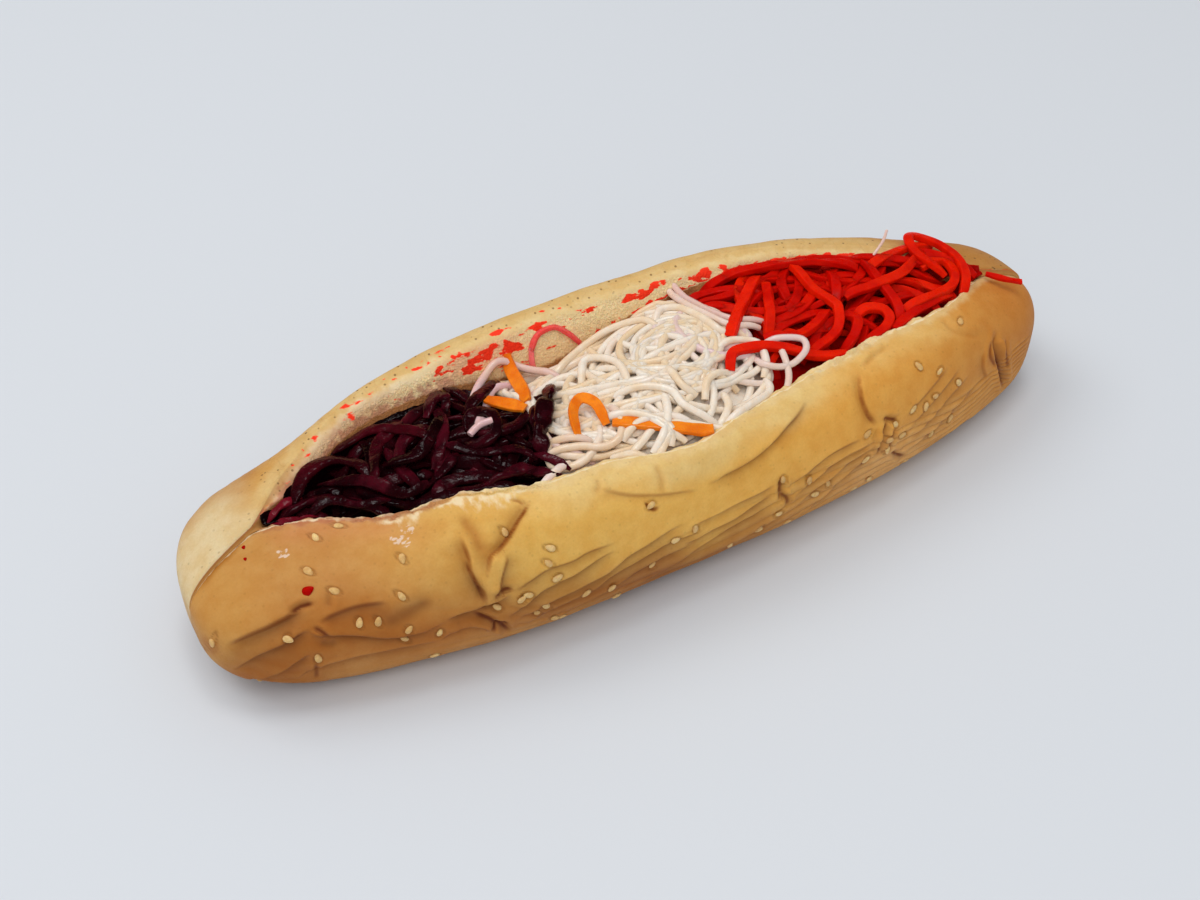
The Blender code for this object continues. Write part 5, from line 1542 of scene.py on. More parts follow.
@dataclass
class Topping:
    """The seeds on the near side, and the chips of carrot that fell on the bread."""

    bread: Bread
    draws: np.random.Generator = field(default_factory=lambda: np.random.default_rng(8))
    chip_spots_mm: Sequence[tuple[float, ...]] = (
        (-120.3, 25.1, 1.0), (-131.0, 2.1, 0.4), (-132.0, 6.0, 0.35)
    )
    chip_rise: float = 0.0001
    chip_tone: float = 0.1
    seed_sizes: tuple[float, float] = (0.88, 1.10)
    seed_tones: tuple[float, float] = (0.25, 1.0)
    seed_rises: tuple[float, float] = (0.00015, 0.00035)
    lean: float = 0.09

    def spot(self, x_mm: float, s_mm: float, rise: float, size: float, tone: float, spin: float) -> Spot:
        """A spot on the near skin, turned by the spin about its normal.

        Args:
            x_mm: Its station.
            s_mm: Its length below the near crest.
            rise: Its height over the skin.
            size: The thing's size.
            tone: The thing's tone.
            spin: How far it is turned.

        Returns:
            The spot.
        """
        here, normal, along = self.bread.skin_frame(x_mm * MM, s_mm * MM)
        here = here + normal * (self.bread.relief_at(x_mm * MM, s_mm * MM) + rise)
        across = np.cross(normal, along)
        lean = self.draws.normal(0, self.lean, 2)
        tipped = normal + lean[0] * along + lean[1] * across
        direction = along * math.cos(spin) + across * math.sin(spin)
        return Spot(here, tipped / np.linalg.norm(tipped), direction, size, tone)

    def seeds(self, material: Material) -> Thing:
        """Makes the sesame seeds, each a little sunk in its pit.

        Args:
            material: Their material.

        Returns:
            The piece.
        """
        spots = []
        limits = (self.seed_sizes, self.seed_tones, self.seed_rises)
        for (x_mm, s_mm), spin in zip(SEED_SPOTS_MM, self.bread.spins):
            size, tone, rise = (self.draws.uniform(low, high) for low, high in limits)
            spots.append(self.spot(x_mm, s_mm, rise, size, tone, float(spin)))
        return sprinkled("sesame_seeds", spots, SeedShape(), material)

    def chips(self, material: Material) -> Thing:
        """Makes the chips of red carrot on the near side.

        Args:
            material: Their material.

        Returns:
            The piece.
        """
        spots = [
            self.spot(x_mm, s_mm, self.chip_rise, size, self.chip_tone, self.draws.uniform(0, 6))
            for x_mm, s_mm, size in self.chip_spots_mm
        ]
        shape = SeedShape(length_mm=3.6, width_mm=2.8, thickness_mm=0.8, taper=0.9, segments=10, rings=8)
        return sprinkled("carrot_chips", spots, shape, material)


# --------------------------------------------------------------------------------------------- the filling
class Cutting(Enum):
    """What the filling is made of."""

    BEETROOT = "beetroot"
    RADISH = "radish"
    CARROT = "carrot"
    ORANGE = "orange"


@dataclass(frozen=True)
class Shred:
    """A shred that shows: its path in millimetres, in plan or in space, and how it differs from its kind.

    The lift raises its middle, the size scales its section, the tone goes from dark to light, the blush is
    how pink it is, the turn tips it about its own line, in degrees, and the dive scales how far its ends go
    down between the others.
    """

    kind: Cutting
    path: tuple[tuple[float, ...], ...]
    lift_mm: float = 0.0
    size: float = 1.0
    tone: float = 0.6
    blush: float = 0.0
    turn: float = 0.0
    dive: float = 0.6


BEET, WHITE, RED, AMBER = Cutting.BEETROOT, Cutting.RADISH, Cutting.CARROT, Cutting.ORANGE

# The shreds that show on top, from the lowest to the highest.
TOP_SHREDS: tuple[Shred, ...] = (
    Shred(BEET, ((-119, 2), (-114, 3), (-107, 3), (-98, -4), (-94, -10), (-91, -15))),
    Shred(BEET, ((-122, 2), (-117, 5), (-110, 6)), tone=0.8, size=0.6, blush=1.0),
    Shred(BEET, ((-121.5, 0.5), (-115, -2), (-108, -3)), tone=0.7, size=0.6, blush=0.7),
    Shred(BEET, ((-113, 4), (-106, 13), (-97, 15), (-91, 8), (-91, 2)), tone=0.4, blush=0.2),
    Shred(BEET, ((-90, -2), (-84, 12), (-77, 17), (-72, 20)), tone=0.7, blush=0.2),
    Shred(BEET, ((-47, 18), (-50, 22), (-53, 25)), tone=0.6, size=0.7),
    Shred(BEET, ((-66, 16), (-62, 21), (-57, 25.5)), tone=0.8, size=1.1),
    Shred(BEET, ((-60, 15), (-58, 20), (-58.5, 25)), tone=0.5, size=0.8),
    Shred(BEET, ((-50, 17), (-53, 22), (-55.5, 26.5)), tone=0.6, size=0.9),
    Shred(BEET, ((-85, 4), (-75, 2), (-67, 8), (-62, 14)), tone=0.4),
    Shred(BEET, ((-78, -16), (-71, -12), (-62, -14), (-55, -20)), tone=0.5),
    Shred(BEET, ((-65, -19), (-54, -18), (-46, -18)), tone=0.7),
    Shred(WHITE, ((-54, 3), (-53, 6), (-50, 5)), tone=0.54, blush=0.9),
    Shred(BEET, ((-58, 4), (-54, 9), (-49, 6), (-51, -2), (-57, -3), (-60, 2)), lift_mm=0.6, tone=0.5),
    Shred(WHITE, ((-48, -27), (-44, -25), (-37, -22)), tone=0.85, blush=0.3),
    Shred(WHITE, ((-42, -17), (-33, -19), (-26, -23), (-20, -22), (-17, -16), (-17, -10)),
          tone=0.6, blush=0.25),
    Shred(WHITE, ((-39, -13), (-28, -18)), tone=0.54, blush=0.35),
    Shred(WHITE, ((-25, -26), (-21, -29), (-17, -32)), tone=0.77),
    Shred(WHITE, ((-49, 11), (-43, 18), (-36, 19)), tone=0.54, blush=0.8),
    Shred(WHITE, ((-52, 14), (-45, 23), (-37, 28), (-30, 25), (-22, 15)), tone=0.6, blush=0.65),
    Shred(RED, ((-25.5, 24.5, 41), (-25.4, 26.5, 45), (-24.6, 28.6, 49.1)), tone=1.0, blush=1.0, size=0.55),
    Shred(RED, ((-24.9, 28.2, 48.3), (-21.5, 30.2, 52.2), (-15.6, 30.5, 52.8), (-11.5, 29, 50), (-8, 27, 46)),
          tone=1.0, blush=0.5, size=0.6),
    Shred(WHITE, ((-19, 5), (-14, 13), (-10, 11), (-7, 4), (-8, -5)), tone=0.85),
    Shred(WHITE, ((-22, 17), (-12, 22), (-4, 24), (4, 23), (10, 20), (13, 15)), tone=0.7, blush=0.1),
    Shred(WHITE, ((13, 17), (18, 21), (23, 18), (26, 10), (28, 3), (31, 1)), tone=0.77, blush=0.1),
    Shred(WHITE, ((26, 30), (25, 20), (28, 10), (33, 3), (42, 1)), tone=0.77, blush=0.45, size=0.9),
    Shred(WHITE, ((28, 31), (28, 21), (31, 11), (36, 5), (45, 3)), tone=0.62, blush=0.65, size=0.85),
    Shred(WHITE, ((24, -4), (27, -3), (33, -4), (37, -7), (36, -13), (33, -17)), tone=0.85, blush=0.15),
    Shred(WHITE, ((33, -18), (32, -22), (28, -25), (19, -28), (12, -30)), tone=0.85, blush=0.1),
    Shred(WHITE, ((22, -13), (14, -15), (10, -20)), tone=0.77),
    Shred(WHITE, ((17, -19), (16, -24), (12, -28), (8, -30)), tone=0.7),
    Shred(WHITE, ((5, -5), (5, -14), (8, -18)), tone=0.77),
    Shred(WHITE, ((-21, -29), (-16, -27), (-9, -24), (-1, -26), (5, -29), (10, -32)), tone=0.85),
    Shred(WHITE, ((-13, -33), (-8, -29), (-1, -26)), tone=0.7),
    Shred(AMBER, ((-20, -17), (-10, -23), (-2, -28), (6, -32)), tone=0.9, size=1.1),
    Shred(WHITE, ((-20, -23), (-13, -21), (-5, -22), (2, -27)), tone=0.8, blush=0.1),
    Shred(WHITE, ((-16, -14), (-10, -20), (-7, -27), (-3, -31)), tone=0.7),
    Shred(WHITE, ((-1, -14), (-4, -22), (-9, -28), (-14, -31)), tone=0.9),
    Shred(WHITE, ((-14, -7), (-5, -10), (1, -15), (2, -21), (7, -27), (10, -29)), tone=0.85),
    Shred(WHITE, ((-24, -14), (-14, -17), (-6, -26), (-8, -31)), tone=0.77, blush=0.1),
    Shred(RED, ((36, 27.5), (50, 26.5), (64, 23.5), (78, 21)), tone=0.4),
    Shred(RED, ((66, 23), (80, 20), (94, 16), (106, 12.5)), tone=0.5),
    Shred(RED, ((110, 16), (116, 15.5), (121, 12), (125, 7)), tone=0.6),
    Shred(RED, ((112, 12), (118, 10.5), (124, 6.5), (128, 1)), tone=0.4),
    Shred(RED, ((44, 27), (60, 24), (76, 19), (88, 14)), tone=0.6),
    Shred(RED, ((88, 19), (100, 15), (112, 10.5), (120, 9)), tone=0.4),
    Shred(RED, ((92, 17), (91, 4), (91, -5), (89, -11)), tone=0.5),
    Shred(RED, ((78, 15), (75, 7), (72, 2)), tone=0.4),
    Shred(RED, ((75, -5), (80, -4), (85, -6), (85, -10), (80, -13), (74, -14)), tone=0.7),
    Shred(RED, ((72, -3), (74, -7), (70, -12), (64, -15)), tone=0.5),
    Shred(RED, ((114, -4), (97, -9), (84, -14)), tone=0.6),
    Shred(RED, ((76, 3), (97, 5), (118, 17)), tone=0.8),
    Shred(RED, ((91, 12), (108, 18), (123, 20)), tone=0.9),
    Shred(RED, ((111, 9), (120, 9), (120, 2), (114, -3), (100, -6), (93, -7)), tone=0.9),
    Shred(RED, ((117, 3), (113, 11), (113, 18), (116, 23), (120, 22), (124, 16), (125, 8), (123, 0),
                (118, -6)), lift_mm=1.4, tone=0.8),
    Shred(RED, ((131.5, -0.5, 43.6), (136.5, -5.0, 42.6), (141.5, -7.6, 41.4)), tone=0.6, size=0.6),
    Shred(WHITE, ((106, 23, 55), (102, 19.5, 54), (97, 17, 52), (94, 16, 50)),
          tone=0.54, blush=0.6, size=0.4),
    Shred(RED, ((67, 22), (67, 9), (70, 1), (70, -2), (65, -9), (53, -13)), tone=0.8),
    Shred(RED, ((55, 18), (49, 6), (43, -3)), tone=0.7),
    Shred(RED, ((41, -4), (51, -7), (61, -4), (67, 0)), tone=0.7),
    Shred(RED, ((54, 22), (44, 13), (30, -1)), tone=0.9, size=1.15),
    Shred(RED, ((23, -13), (27, -8), (35, -8), (44, -11), (52, -15), (63, -18)), tone=0.8),
    Shred(WHITE, ((34, -10), (34, -14), (38, -17), (44, -17), (50, -14), (51, -10), (44, -7), (39, -6)),
          lift_mm=0.8, tone=0.85, blush=0.5, size=0.85),
    Shred(WHITE, ((43, -7), (42, -14), (40, -20), (37, -24)), tone=0.77, blush=0.45, size=0.85),
    Shred(BEET, ((-39, 22), (-50, 15), (-55, 12)), tone=0.6),
    Shred(BEET, ((-34, 8), (-32, 2)), tone=0.3, size=0.8),
    Shred(BEET, ((-35, 3), (-37, -2), (-41, -8)), tone=0.5, size=1.3, lift_mm=0.8),
    Shred(BEET, ((-38, -6), (-41, -11), (-43, -17)), tone=0.5, size=1.25, lift_mm=0.6),
    Shred(BEET, ((-28, 9), (-30.5, 4), (-34, -1.5)), tone=0.6, size=1.1, lift_mm=0.8, dive=0.0, turn=40),
    Shred(BEET, ((-31.5, 3), (-35.5, -3), (-40, -10)), tone=0.4, size=1.3, lift_mm=1.4, dive=0.0),
    Shred(BEET, ((-50, -20), (-46, -23), (-41, -26)), tone=0.8, size=0.9),
    Shred(BEET, ((-46, -15), (-42, -20), (-38, -25)), tone=0.9, size=0.7),
    Shred(WHITE, ((-58.5, 0.6), (-54.5, 2.2), (-50.5, 2.0)), tone=0.4, blush=1.0, size=0.9, dive=0.0),
    Shred(BEET, ((-112, -3), (-104, -1), (-96, -8), (-88, -9)), tone=0.5, size=0.6),
    Shred(BEET, ((-96, 18), (-84, 20), (-74, 13), (-69, 4)), tone=0.6, size=0.8, blush=0.3),
    Shred(BEET, ((-104, 8), (-94, 1), (-84, -9), (-76, -8)), tone=0.5, size=0.8),
    Shred(BEET, ((-86, -14), (-74, -17), (-62, -20), (-54, -24)), tone=0.4, size=0.7),
    Shred(BEET, ((-66, 2), (-58, -6), (-50, -10), (-45, -18)), tone=0.6, size=0.8),
)
ORANGE_SHREDS: tuple[Shred, ...] = (
    Shred(AMBER, ((-47, 14), (-43, 8), (-39, 3)), tone=0.6),
    Shred(AMBER, ((-33, 29), (-35, 16), (-37, 6)), tone=0.7, turn=35),
    Shred(AMBER, ((-31, -16), (-29, -9), (-25, -6), (-22, -10), (-22, -17)),
          lift_mm=3.0, tone=0.7, size=0.75, turn=30),
)


@dataclass(frozen=True)
class Cut:
    """How a vegetable is cut and how its shreds lie: sizes in millimetres, shares from 0 to 1."""

    width_mm: float
    thick_mm: float
    round_mm: float
    rough_mm: float
    grain_mm: float
    length_mm: tuple[float, float]
    bend_mm: float
    loose: int
    sink: float
    seed: int
    step_mm: float = 0.9
    vary: float = 0.12
    twist: float = 8.0
    point: float = 0.1
    stiff_mm: float = 30.0
    dive_mm: float = 2.2
    mixed: float = 0.0
    tones: tuple[float, float] = (0.2, 0.8)
    crisp: bool = False

    def tree(self, name: str) -> Tree:
        """Builds the Geometry Nodes that sweep this cut's section along laid lines.

        Args:
            name: The tree's name.

        Returns:
            The tree.
        """
        tree, entry = nodes_group(name, ("Width", "Thickness", "Rounding", "Roughness", "Grain"))
        tilt, size = (add(tree, NAMED, {"Name": label}, data_type="FLOAT") for label in ("tilt", "size"))
        curve = add(tree, "GeometryNodeMeshToCurve", {"Mesh": entry["Geometry"]})
        curve = add(tree, "GeometryNodeSetCurveNormal", {"Curve": curve}, mode="Z_UP")
        curve = add(tree, "GeometryNodeSetCurveTilt", {"Curve": curve, "Tilt": tilt})
        inputs = {"Width": entry["Width"], "Height": entry["Thickness"]}
        section = add(tree, "GeometryNodeCurvePrimitiveQuadrilateral", inputs)
        inputs = {"Curve": section, "Radius": entry["Rounding"], "Limit Radius": True, "Count": 2}
        section = add(tree, "GeometryNodeFilletCurve", inputs, mode="POLY")
        inputs = {"Curve": curve, "Profile Curve": section, "Scale": size, "Fill Caps": True}
        mesh = add(tree, "GeometryNodeCurveToMesh", inputs)
        mesh = roughened(tree, mesh, entry["Grain"], entry["Roughness"])
        finish_group(tree, mesh, entry["Material"], self.crisp)
        return tree

    def settings(self, material: Material) -> dict[str, object]:
        """Values of the tree's inputs.

        Args:
            material: The shreds' material.

        Returns:
            A value for each input by name.
        """
        names = ("Width", "Thickness", "Rounding", "Roughness", "Grain")
        sizes = (self.width_mm, self.thick_mm, self.round_mm, self.rough_mm, self.grain_mm)
        return {"Material": material, **{name: size * MM for name, size in zip(names, sizes)}}


CUTS = {
    BEET: Cut(width_mm=4.0, thick_mm=1.9, round_mm=0.7, rough_mm=0.6, grain_mm=2.6, length_mm=(18, 46),
              bend_mm=13,
              loose=92, sink=0.5, seed=3, vary=0.26, twist=26, point=0.6, stiff_mm=13, dive_mm=1.6,
              mixed=0.5),
    WHITE: Cut(width_mm=2.6, thick_mm=2.4, round_mm=1.15, rough_mm=0.05, grain_mm=4.0, length_mm=(55, 115),
               bend_mm=15,
               loose=50, sink=0.25, seed=5, vary=0.05, point=0.05, stiff_mm=16, dive_mm=3.0, mixed=0.15,
               tones=(0.55, 1.0)),
    RED: Cut(width_mm=3.3, thick_mm=2.2, round_mm=0.4, rough_mm=0.05, grain_mm=4.0, length_mm=(34, 74),
             bend_mm=18,
             loose=40, sink=0.3, seed=12, vary=0.07, twist=22, point=0.12, stiff_mm=24, dive_mm=2.4,
             mixed=0.2,
             crisp=True),
    AMBER: Cut(width_mm=4.3, thick_mm=1.5, round_mm=0.35, rough_mm=0.10, grain_mm=3.0, length_mm=(12, 24),
               bend_mm=15,
               loose=0, sink=0.0, seed=9, vary=0.05, twist=4, point=0.3, dive_mm=0.4, crisp=True),
}


@dataclass(frozen=True)
class Laid:
    """A shred that has come to rest: points in space with a size and tilt at each, its tone and blush."""

    points: Array
    size: Array
    tilt: Array
    tone: Array
    blush: Array


@dataclass
class Bed:
    """Height of the bread and of what lies on it so far, over a fine grid in plan."""

    form: RollForm
    cell: float = 0.0006
    half_width: float = 0.046
    ends_at: tuple[float, float] = (-0.146, 0.147)
    sunk: Keys = ((-0.15, 0.008), (-0.044, 0.008), (-0.03, 0.0045), (0.02, 0.0045), (0.038, 0.007),
                  (0.15, 0.007))
    side_depth: float = 0.45
    dive_run: float = 0.006
    pressed: float = 0.45
    smoothing: int = 8
    slack: float = 0.001
    touched: tuple[float, ...] = (-0.7, 0.0, 0.7)
    loose_ceiling: float = -0.0022
    top_ceiling: float = 0.0004
    beetroot_edge: Keys = ((-0.04, -0.047), (-0.03, -0.044), (-0.011, -0.038), (0.008, -0.036),
                           (0.03, -0.046))
    carrot_edge: Keys = ((-0.04, 0.04), (-0.026, 0.036), (0.004, 0.034), (0.02, 0.027), (0.032, 0.013))
    filled: tuple[float, float] = (-0.124, 0.132)

    def __post_init__(self) -> None:
        """Measures the bread and the sunk floor that the shreds are laid on."""
        self.x = np.arange(*self.ends_at, self.cell)
        self.y = np.arange(-self.half_width, self.half_width, self.cell)
        self.height, self.near, self.far, self.top = (np.array(part) for part in zip(*map(self.row, self.x)))
        self.floor = self.height.copy()

    def row(self, x: float) -> tuple[Array, float, float, Array]:
        """Heights across the roll at a station, the filling's two edges there, and its level.

        Args:
            x: The station.

        Returns:
            The heights at each y, the near and far edge, and the level at each y.
        """
        form = self.form
        face, trough, lip = form.slit_parts(x)
        near, far = form.near_skin(x)[: form.dense], form.far_skin(x)[-form.dense :]
        bread = np.vstack([near[::-1], lip[::-1], face[::-1], far[::-1]])
        order = np.argsort(bread[:, 0])
        height = np.interp(self.y, bread[order, 0], bread[order, 1])
        top = form.top_height(x, self.y)
        near_edge, far_edge = float(trough[-1, 0]), float(trough[0, 0])
        inside = (self.y > near_edge) & (self.y < far_edge) & (self.filled[0] < x < self.filled[1])
        share = np.clip((self.y - near_edge) / (far_edge - near_edge), 0, 1)
        sunk = min(float(profile(x, self.sunk)), 0.5 * float(trough[-1, 1] - trough[:, 1].min()))
        sunk = sunk * (self.side_depth + (1 - self.side_depth) * (1 - (2 * share - 1) ** 2))
        return np.where(inside, top - sunk, height), near_edge, far_edge, np.where(inside, top, height)

    def steps(self, places: Array, axis: Array) -> Array:
        """Number of the grid step nearest to each place along an axis."""
        return np.clip(np.rint((places - axis[0]) / self.cell).astype(int), 0, len(axis) - 1)

    def cells(self, plan: Array) -> tuple[Array, Array]:
        """Grid cells below points in plan."""
        return self.steps(plan[..., 0], self.x), self.steps(plan[..., 1], self.y)

    def ends(self, kind: Cutting, y: Array) -> tuple[Array, Array]:
        """The stations between which a heap lies, at distances across the slit.

        Args:
            kind: Whose heap.
            y: The distances.

        Returns:
            The left and the right ends.
        """
        left, right = (np.full_like(y, end) for end in self.filled)
        if kind in (WHITE, RED):
            left = profile(y, self.beetroot_edge if kind is WHITE else self.carrot_edge)
        if kind in (BEET, WHITE):
            right = profile(y, self.beetroot_edge if kind is BEET else self.carrot_edge)
        return left, right

    def held(self, kind: Cutting, plan: Array, margin: float) -> tuple[Array, float]:
        """Keeps points in plan over a heap.

        Args:
            kind: Whose heap.
            plan: The points.
            margin: How far they stay from the heap's sides.

        Returns:
            The points, moved to the edge where they were past it, and the share that were inside.
        """
        i, _ = self.cells(plan)
        farthest = np.maximum(self.far[i], self.near[i] + 2 * margin) - margin
        y = np.clip(plan[:, 1], self.near[i] + margin, farthest)
        left, right = self.ends(kind, y)
        kept = np.stack([np.clip(plan[:, 0], left - self.slack, right + self.slack), y], axis=1)
        return kept, float((np.abs(kept - plan).max(axis=1) < self.slack).mean())

    def rest(self, plan: Array, cut: Cut, size: float, ceiling: float) -> Array:
        """Heights at which a shred comes to rest on what lies below its path.

        Args:
            plan: Even points of its path in plan.
            cut: How it is cut.
            size: Scale of its section.
            ceiling: Height over the heap's level above which it is pressed down.

        Returns:
            The height of its middle line at each point.
        """
        run = np.gradient(plan, axis=0)
        side = np.stack([-run[:, 1], run[:, 0]], axis=1)
        side = side / (np.linalg.norm(run, axis=1, keepdims=True) + 1e-12)
        half = size * cut.width_mm * MM / 2
        spots = plan[:, None] + side[:, None] * (half * np.array(self.touched))[None, :, None]
        height = self.height[self.cells(spots)].max(axis=1) + size * cut.thick_mm * MM / 2 * (1 - cut.sink)
        along = lengths_along(plan)
        sag = (along[:, None] - along[None, :]) ** 2 / (2 * cut.stiff_mm * MM)
        height = (height[None, :] - sag).max(axis=1)
        excess = np.clip(height - self.top[self.cells(plan)] - ceiling, 0, None)
        height = height - (1 - self.pressed) * excess
        for _ in range(self.smoothing):
            height[1:-1] = (height[:-2] + 2 * height[1:-1] + height[2:]) / 4
        return height

    def lay(self, plan: Array, cut: Cut, size: float, ceiling: float, lift: float, dive: float) -> Array:
        """Lets a shred down on what lies there, and counts it as laid.

        Args:
            plan: Even points of its path in plan.
            cut: How it is cut.
            size: Scale of its section.
            ceiling: Height over the heap's level above which it is pressed down.
            lift: How far its middle is raised.
            dive: How far its ends go down between the others.

        Returns:
            Its points in space.
        """
        along = lengths_along(plan)
        to_end = np.minimum(along, along[-1] - along)
        drop = dive * np.clip(1 - to_end / self.dive_run, 0, 1) ** 2
        arch = lift * np.sin(np.linspace(0, math.pi, len(plan)))
        height = self.rest(plan, cut, size, ceiling) + arch - drop
        line = np.column_stack([plan, height])
        self.cover(evenly(line, 3 * len(line)), size * cut.width_mm * MM / 2, size * cut.thick_mm * MM / 2)
        return line

    def cover(self, line: Array, half_width: float, half_thick: float) -> None:
        """Raises the cells below a shred to its rounded upper side.

        Args:
            line: Points of its middle line.
            half_width: Half its width.
            half_thick: Half its thickness.
        """
        reach = int(math.ceil(half_width / self.cell))
        offsets = np.arange(-reach, reach + 1)
        i, j = self.cells(line[:, :2])
        i = np.clip(i[:, None, None] + offsets[None, :, None], 0, len(self.x) - 1)
        j = np.clip(j[:, None, None] + offsets[None, None, :], 0, len(self.y) - 1)
        gap = np.hypot(self.x[i] - line[:, 0, None, None], self.y[j] - line[:, 1, None, None]) / half_width
        rise = np.sqrt(np.clip(1 - gap**4, 0, 1)) * half_thick
        np.maximum.at(self.height, (i, j), np.where(gap < 1, line[:, 2, None, None] + rise, -1.0))


@dataclass
class Filling:
    """The three heaps and the loose orange strips."""

    bed: Bed
    laid: dict[Cutting, list[Laid]] = field(default_factory=lambda: {kind: [] for kind in Cutting})
    tries: int = 12
    bend_points: int = 9
    stray: float = 0.036
    share_inside: float = 0.6
    margin: float = 0.2
    tone_wave: float = 0.1
    blush_wave: float = 0.08
    rounds: int = 4
    core_gap: float = 0.0004
    core_sunk: float = 0.0002
    core_rise: float = 0.001
    core_least: float = 0.0005
    core_bumps: float = 0.0012
    core_bump_size: float = 0.004
    grain: Grain = field(default_factory=lambda: Grain(33))
    floors: dict[int, Array] = field(default_factory=dict)

    def wander(self, draws: np.random.Generator, cut: Cut) -> Array:
        """A random curved path in plan for a loose shred.

        Args:
            draws: Where its random numbers come from.
            cut: How it is cut.

        Returns:
            The path's points.
        """
        length = draws.uniform(*cut.length_mm) * MM
        start = np.array([draws.uniform(*self.bed.filled), draws.uniform(-self.stray, self.stray)])
        count = self.bend_points
        turn = draws.choice((-1, 1)) * draws.uniform(0.25, 1.0) / (cut.bend_mm * MM)
        drift = np.cumsum(draws.normal(0, 0.25, count)) / (cut.bend_mm * MM)
        step = length / count
        heading = draws.uniform(0, 2 * math.pi) + np.cumsum((turn + 0.4 * drift) * step)
        return start + np.cumsum(step * np.stack([np.cos(heading), np.sin(heading)], axis=1), axis=0)

    def lay_loose(self, kind: Cutting) -> None:
        """Lays a heap's loose shreds, each in the lowest place that its tries find.

        Args:
            kind: Whose heap.
        """
        cut = CUTS[kind]
        draws = np.random.default_rng(cut.seed)
        margin = self.margin * cut.width_mm * MM
        for _ in range(cut.loose):
            options = []
            while len(options) < self.tries:
                path, inside = self.bed.held(kind, self.wander(draws, cut), margin)
                if inside > self.share_inside:
                    plan = evenly(through(path, 60), 40)
                    height = self.bed.rest(plan, cut, 1.0, self.bed.loose_ceiling)
                    options.append((float((height - self.bed.top[self.bed.cells(plan)]).mean()), path))
            path = min(options, key=lambda option: option[0])[1]
            blush = self.blush_near(path, draws) if kind is WHITE else 0.0
            size = draws.uniform(1 - cut.mixed, 1 + 0.2 * cut.mixed)
            self.add(kind, path, draws, tone=draws.uniform(*cut.tones), blush=blush, size=size)

    def blush_near(self, path: Array, draws: np.random.Generator) -> float:
        """How pink a loose shred is: more so close to the beetroot and to the red carrot.

        Args:
            path: The shred's path in plan.
            draws: Where its random numbers come from.

        Returns:
            The blush, from 0 to 1.
        """
        x = float(path[:, 0].mean()) / MM
        near = max(float(ramp(x, -22, -40)), 0.8 * float(ramp(x, 14, 34)))
        return float(np.clip(near * draws.uniform(0.3, 1.1) + draws.uniform(-0.1, 0.15), 0, 1))

    def add(
        self, kind: Cutting, path: Array, draws: np.random.Generator, tone: float, blush: float,
        size: float = 1.0, lift: float = 0.0, turn: float = 0.0, dive: float = 1.0,
        ceiling: float = Bed.loose_ceiling,
    ) -> None:
        """Lays one shred along a path in plan, or along one in space, and keeps its line.

        Args:
            kind: How the shred is cut.
            path: Its path.
            draws: Where its random numbers come from.
            tone: How light it is.
            blush: How pink it is.
            size: Scale of its section.
            lift: How far its middle is raised.
            turn: How it is tipped about its own line, in degrees.
            dive: Scale of how far its ends go down.
            ceiling: Height over the heap's level above which it is pressed down.
        """
        cut = CUTS[kind]
        curve = through(path, 14 * len(path))
        plan = evenly(curve, max(5, round(lengths_along(curve)[-1] / (cut.step_mm * MM))))
        points = plan
        if path.shape[1] != 3:
            points = self.bed.lay(plan, cut, size, ceiling, lift, dive * cut.dive_mm * MM)
        share = np.linspace(0, 1, len(points))
        wave, roll = (
            np.interp(share, np.linspace(0, 1, count), draws.normal(0, 1, count)) for count in (6, 4)
        )
        taper = 1 - cut.point * ramp(np.minimum(share, 1 - share) * len(points), 4, 0)
        tilt = math.radians(turn) + np.radians(cut.twist) * roll
        sizes = size * taper * (1 + cut.vary * wave * 0.5)
        tones = np.clip(tone + self.tone_wave * wave, 0, 1)
        pink = np.clip(blush + self.blush_wave * wave, 0, 1) if blush > 0 else np.zeros(len(points))
        self.laid[kind].append(Laid(points, sizes, tilt, tones, pink))

    def lay_all(self) -> None:
        """Lays everything from the bottom up."""
        for kind in (BEET, WHITE, RED):
            self.lay_loose(kind)
        draws = np.random.default_rng(17)
        for shred in (*TOP_SHREDS, *ORANGE_SHREDS):
            path, lift = np.array(shred.path) * MM, shred.lift_mm * MM
            differs = {name: getattr(shred, name) for name in ("tone", "blush", "size", "turn", "dive")}
            self.add(shred.kind, path, draws, lift=lift, ceiling=self.bed.top_ceiling, **differs)

    def swept(self, name: str, kind: Cutting, lines: Sequence[Laid], material: Material) -> Thing:
        """Makes one mesh of shreds along their lines.

        Args:
            name: The piece's name.
            kind: How the shreds are cut.
            lines: The shreds.
            material: Their material.

        Returns:
            The piece.
        """
        starts = np.cumsum([0] + [len(line.points) for line in lines])
        edges = [(k, k + 1) for a, b in zip(starts[:-1], starts[1:]) for k in range(a, b - 1)]
        thing = plain_mesh(name, np.concatenate([line.points for line in lines]), [], edges)
        for label in ("size", "tilt", "tone", "blush"):
            store(thing, label, np.concatenate([getattr(line, label) for line in lines]))
        cut = CUTS[kind]
        return outward(grown(thing, cut.tree(f"{name}_sweep"), cut.settings(material)))

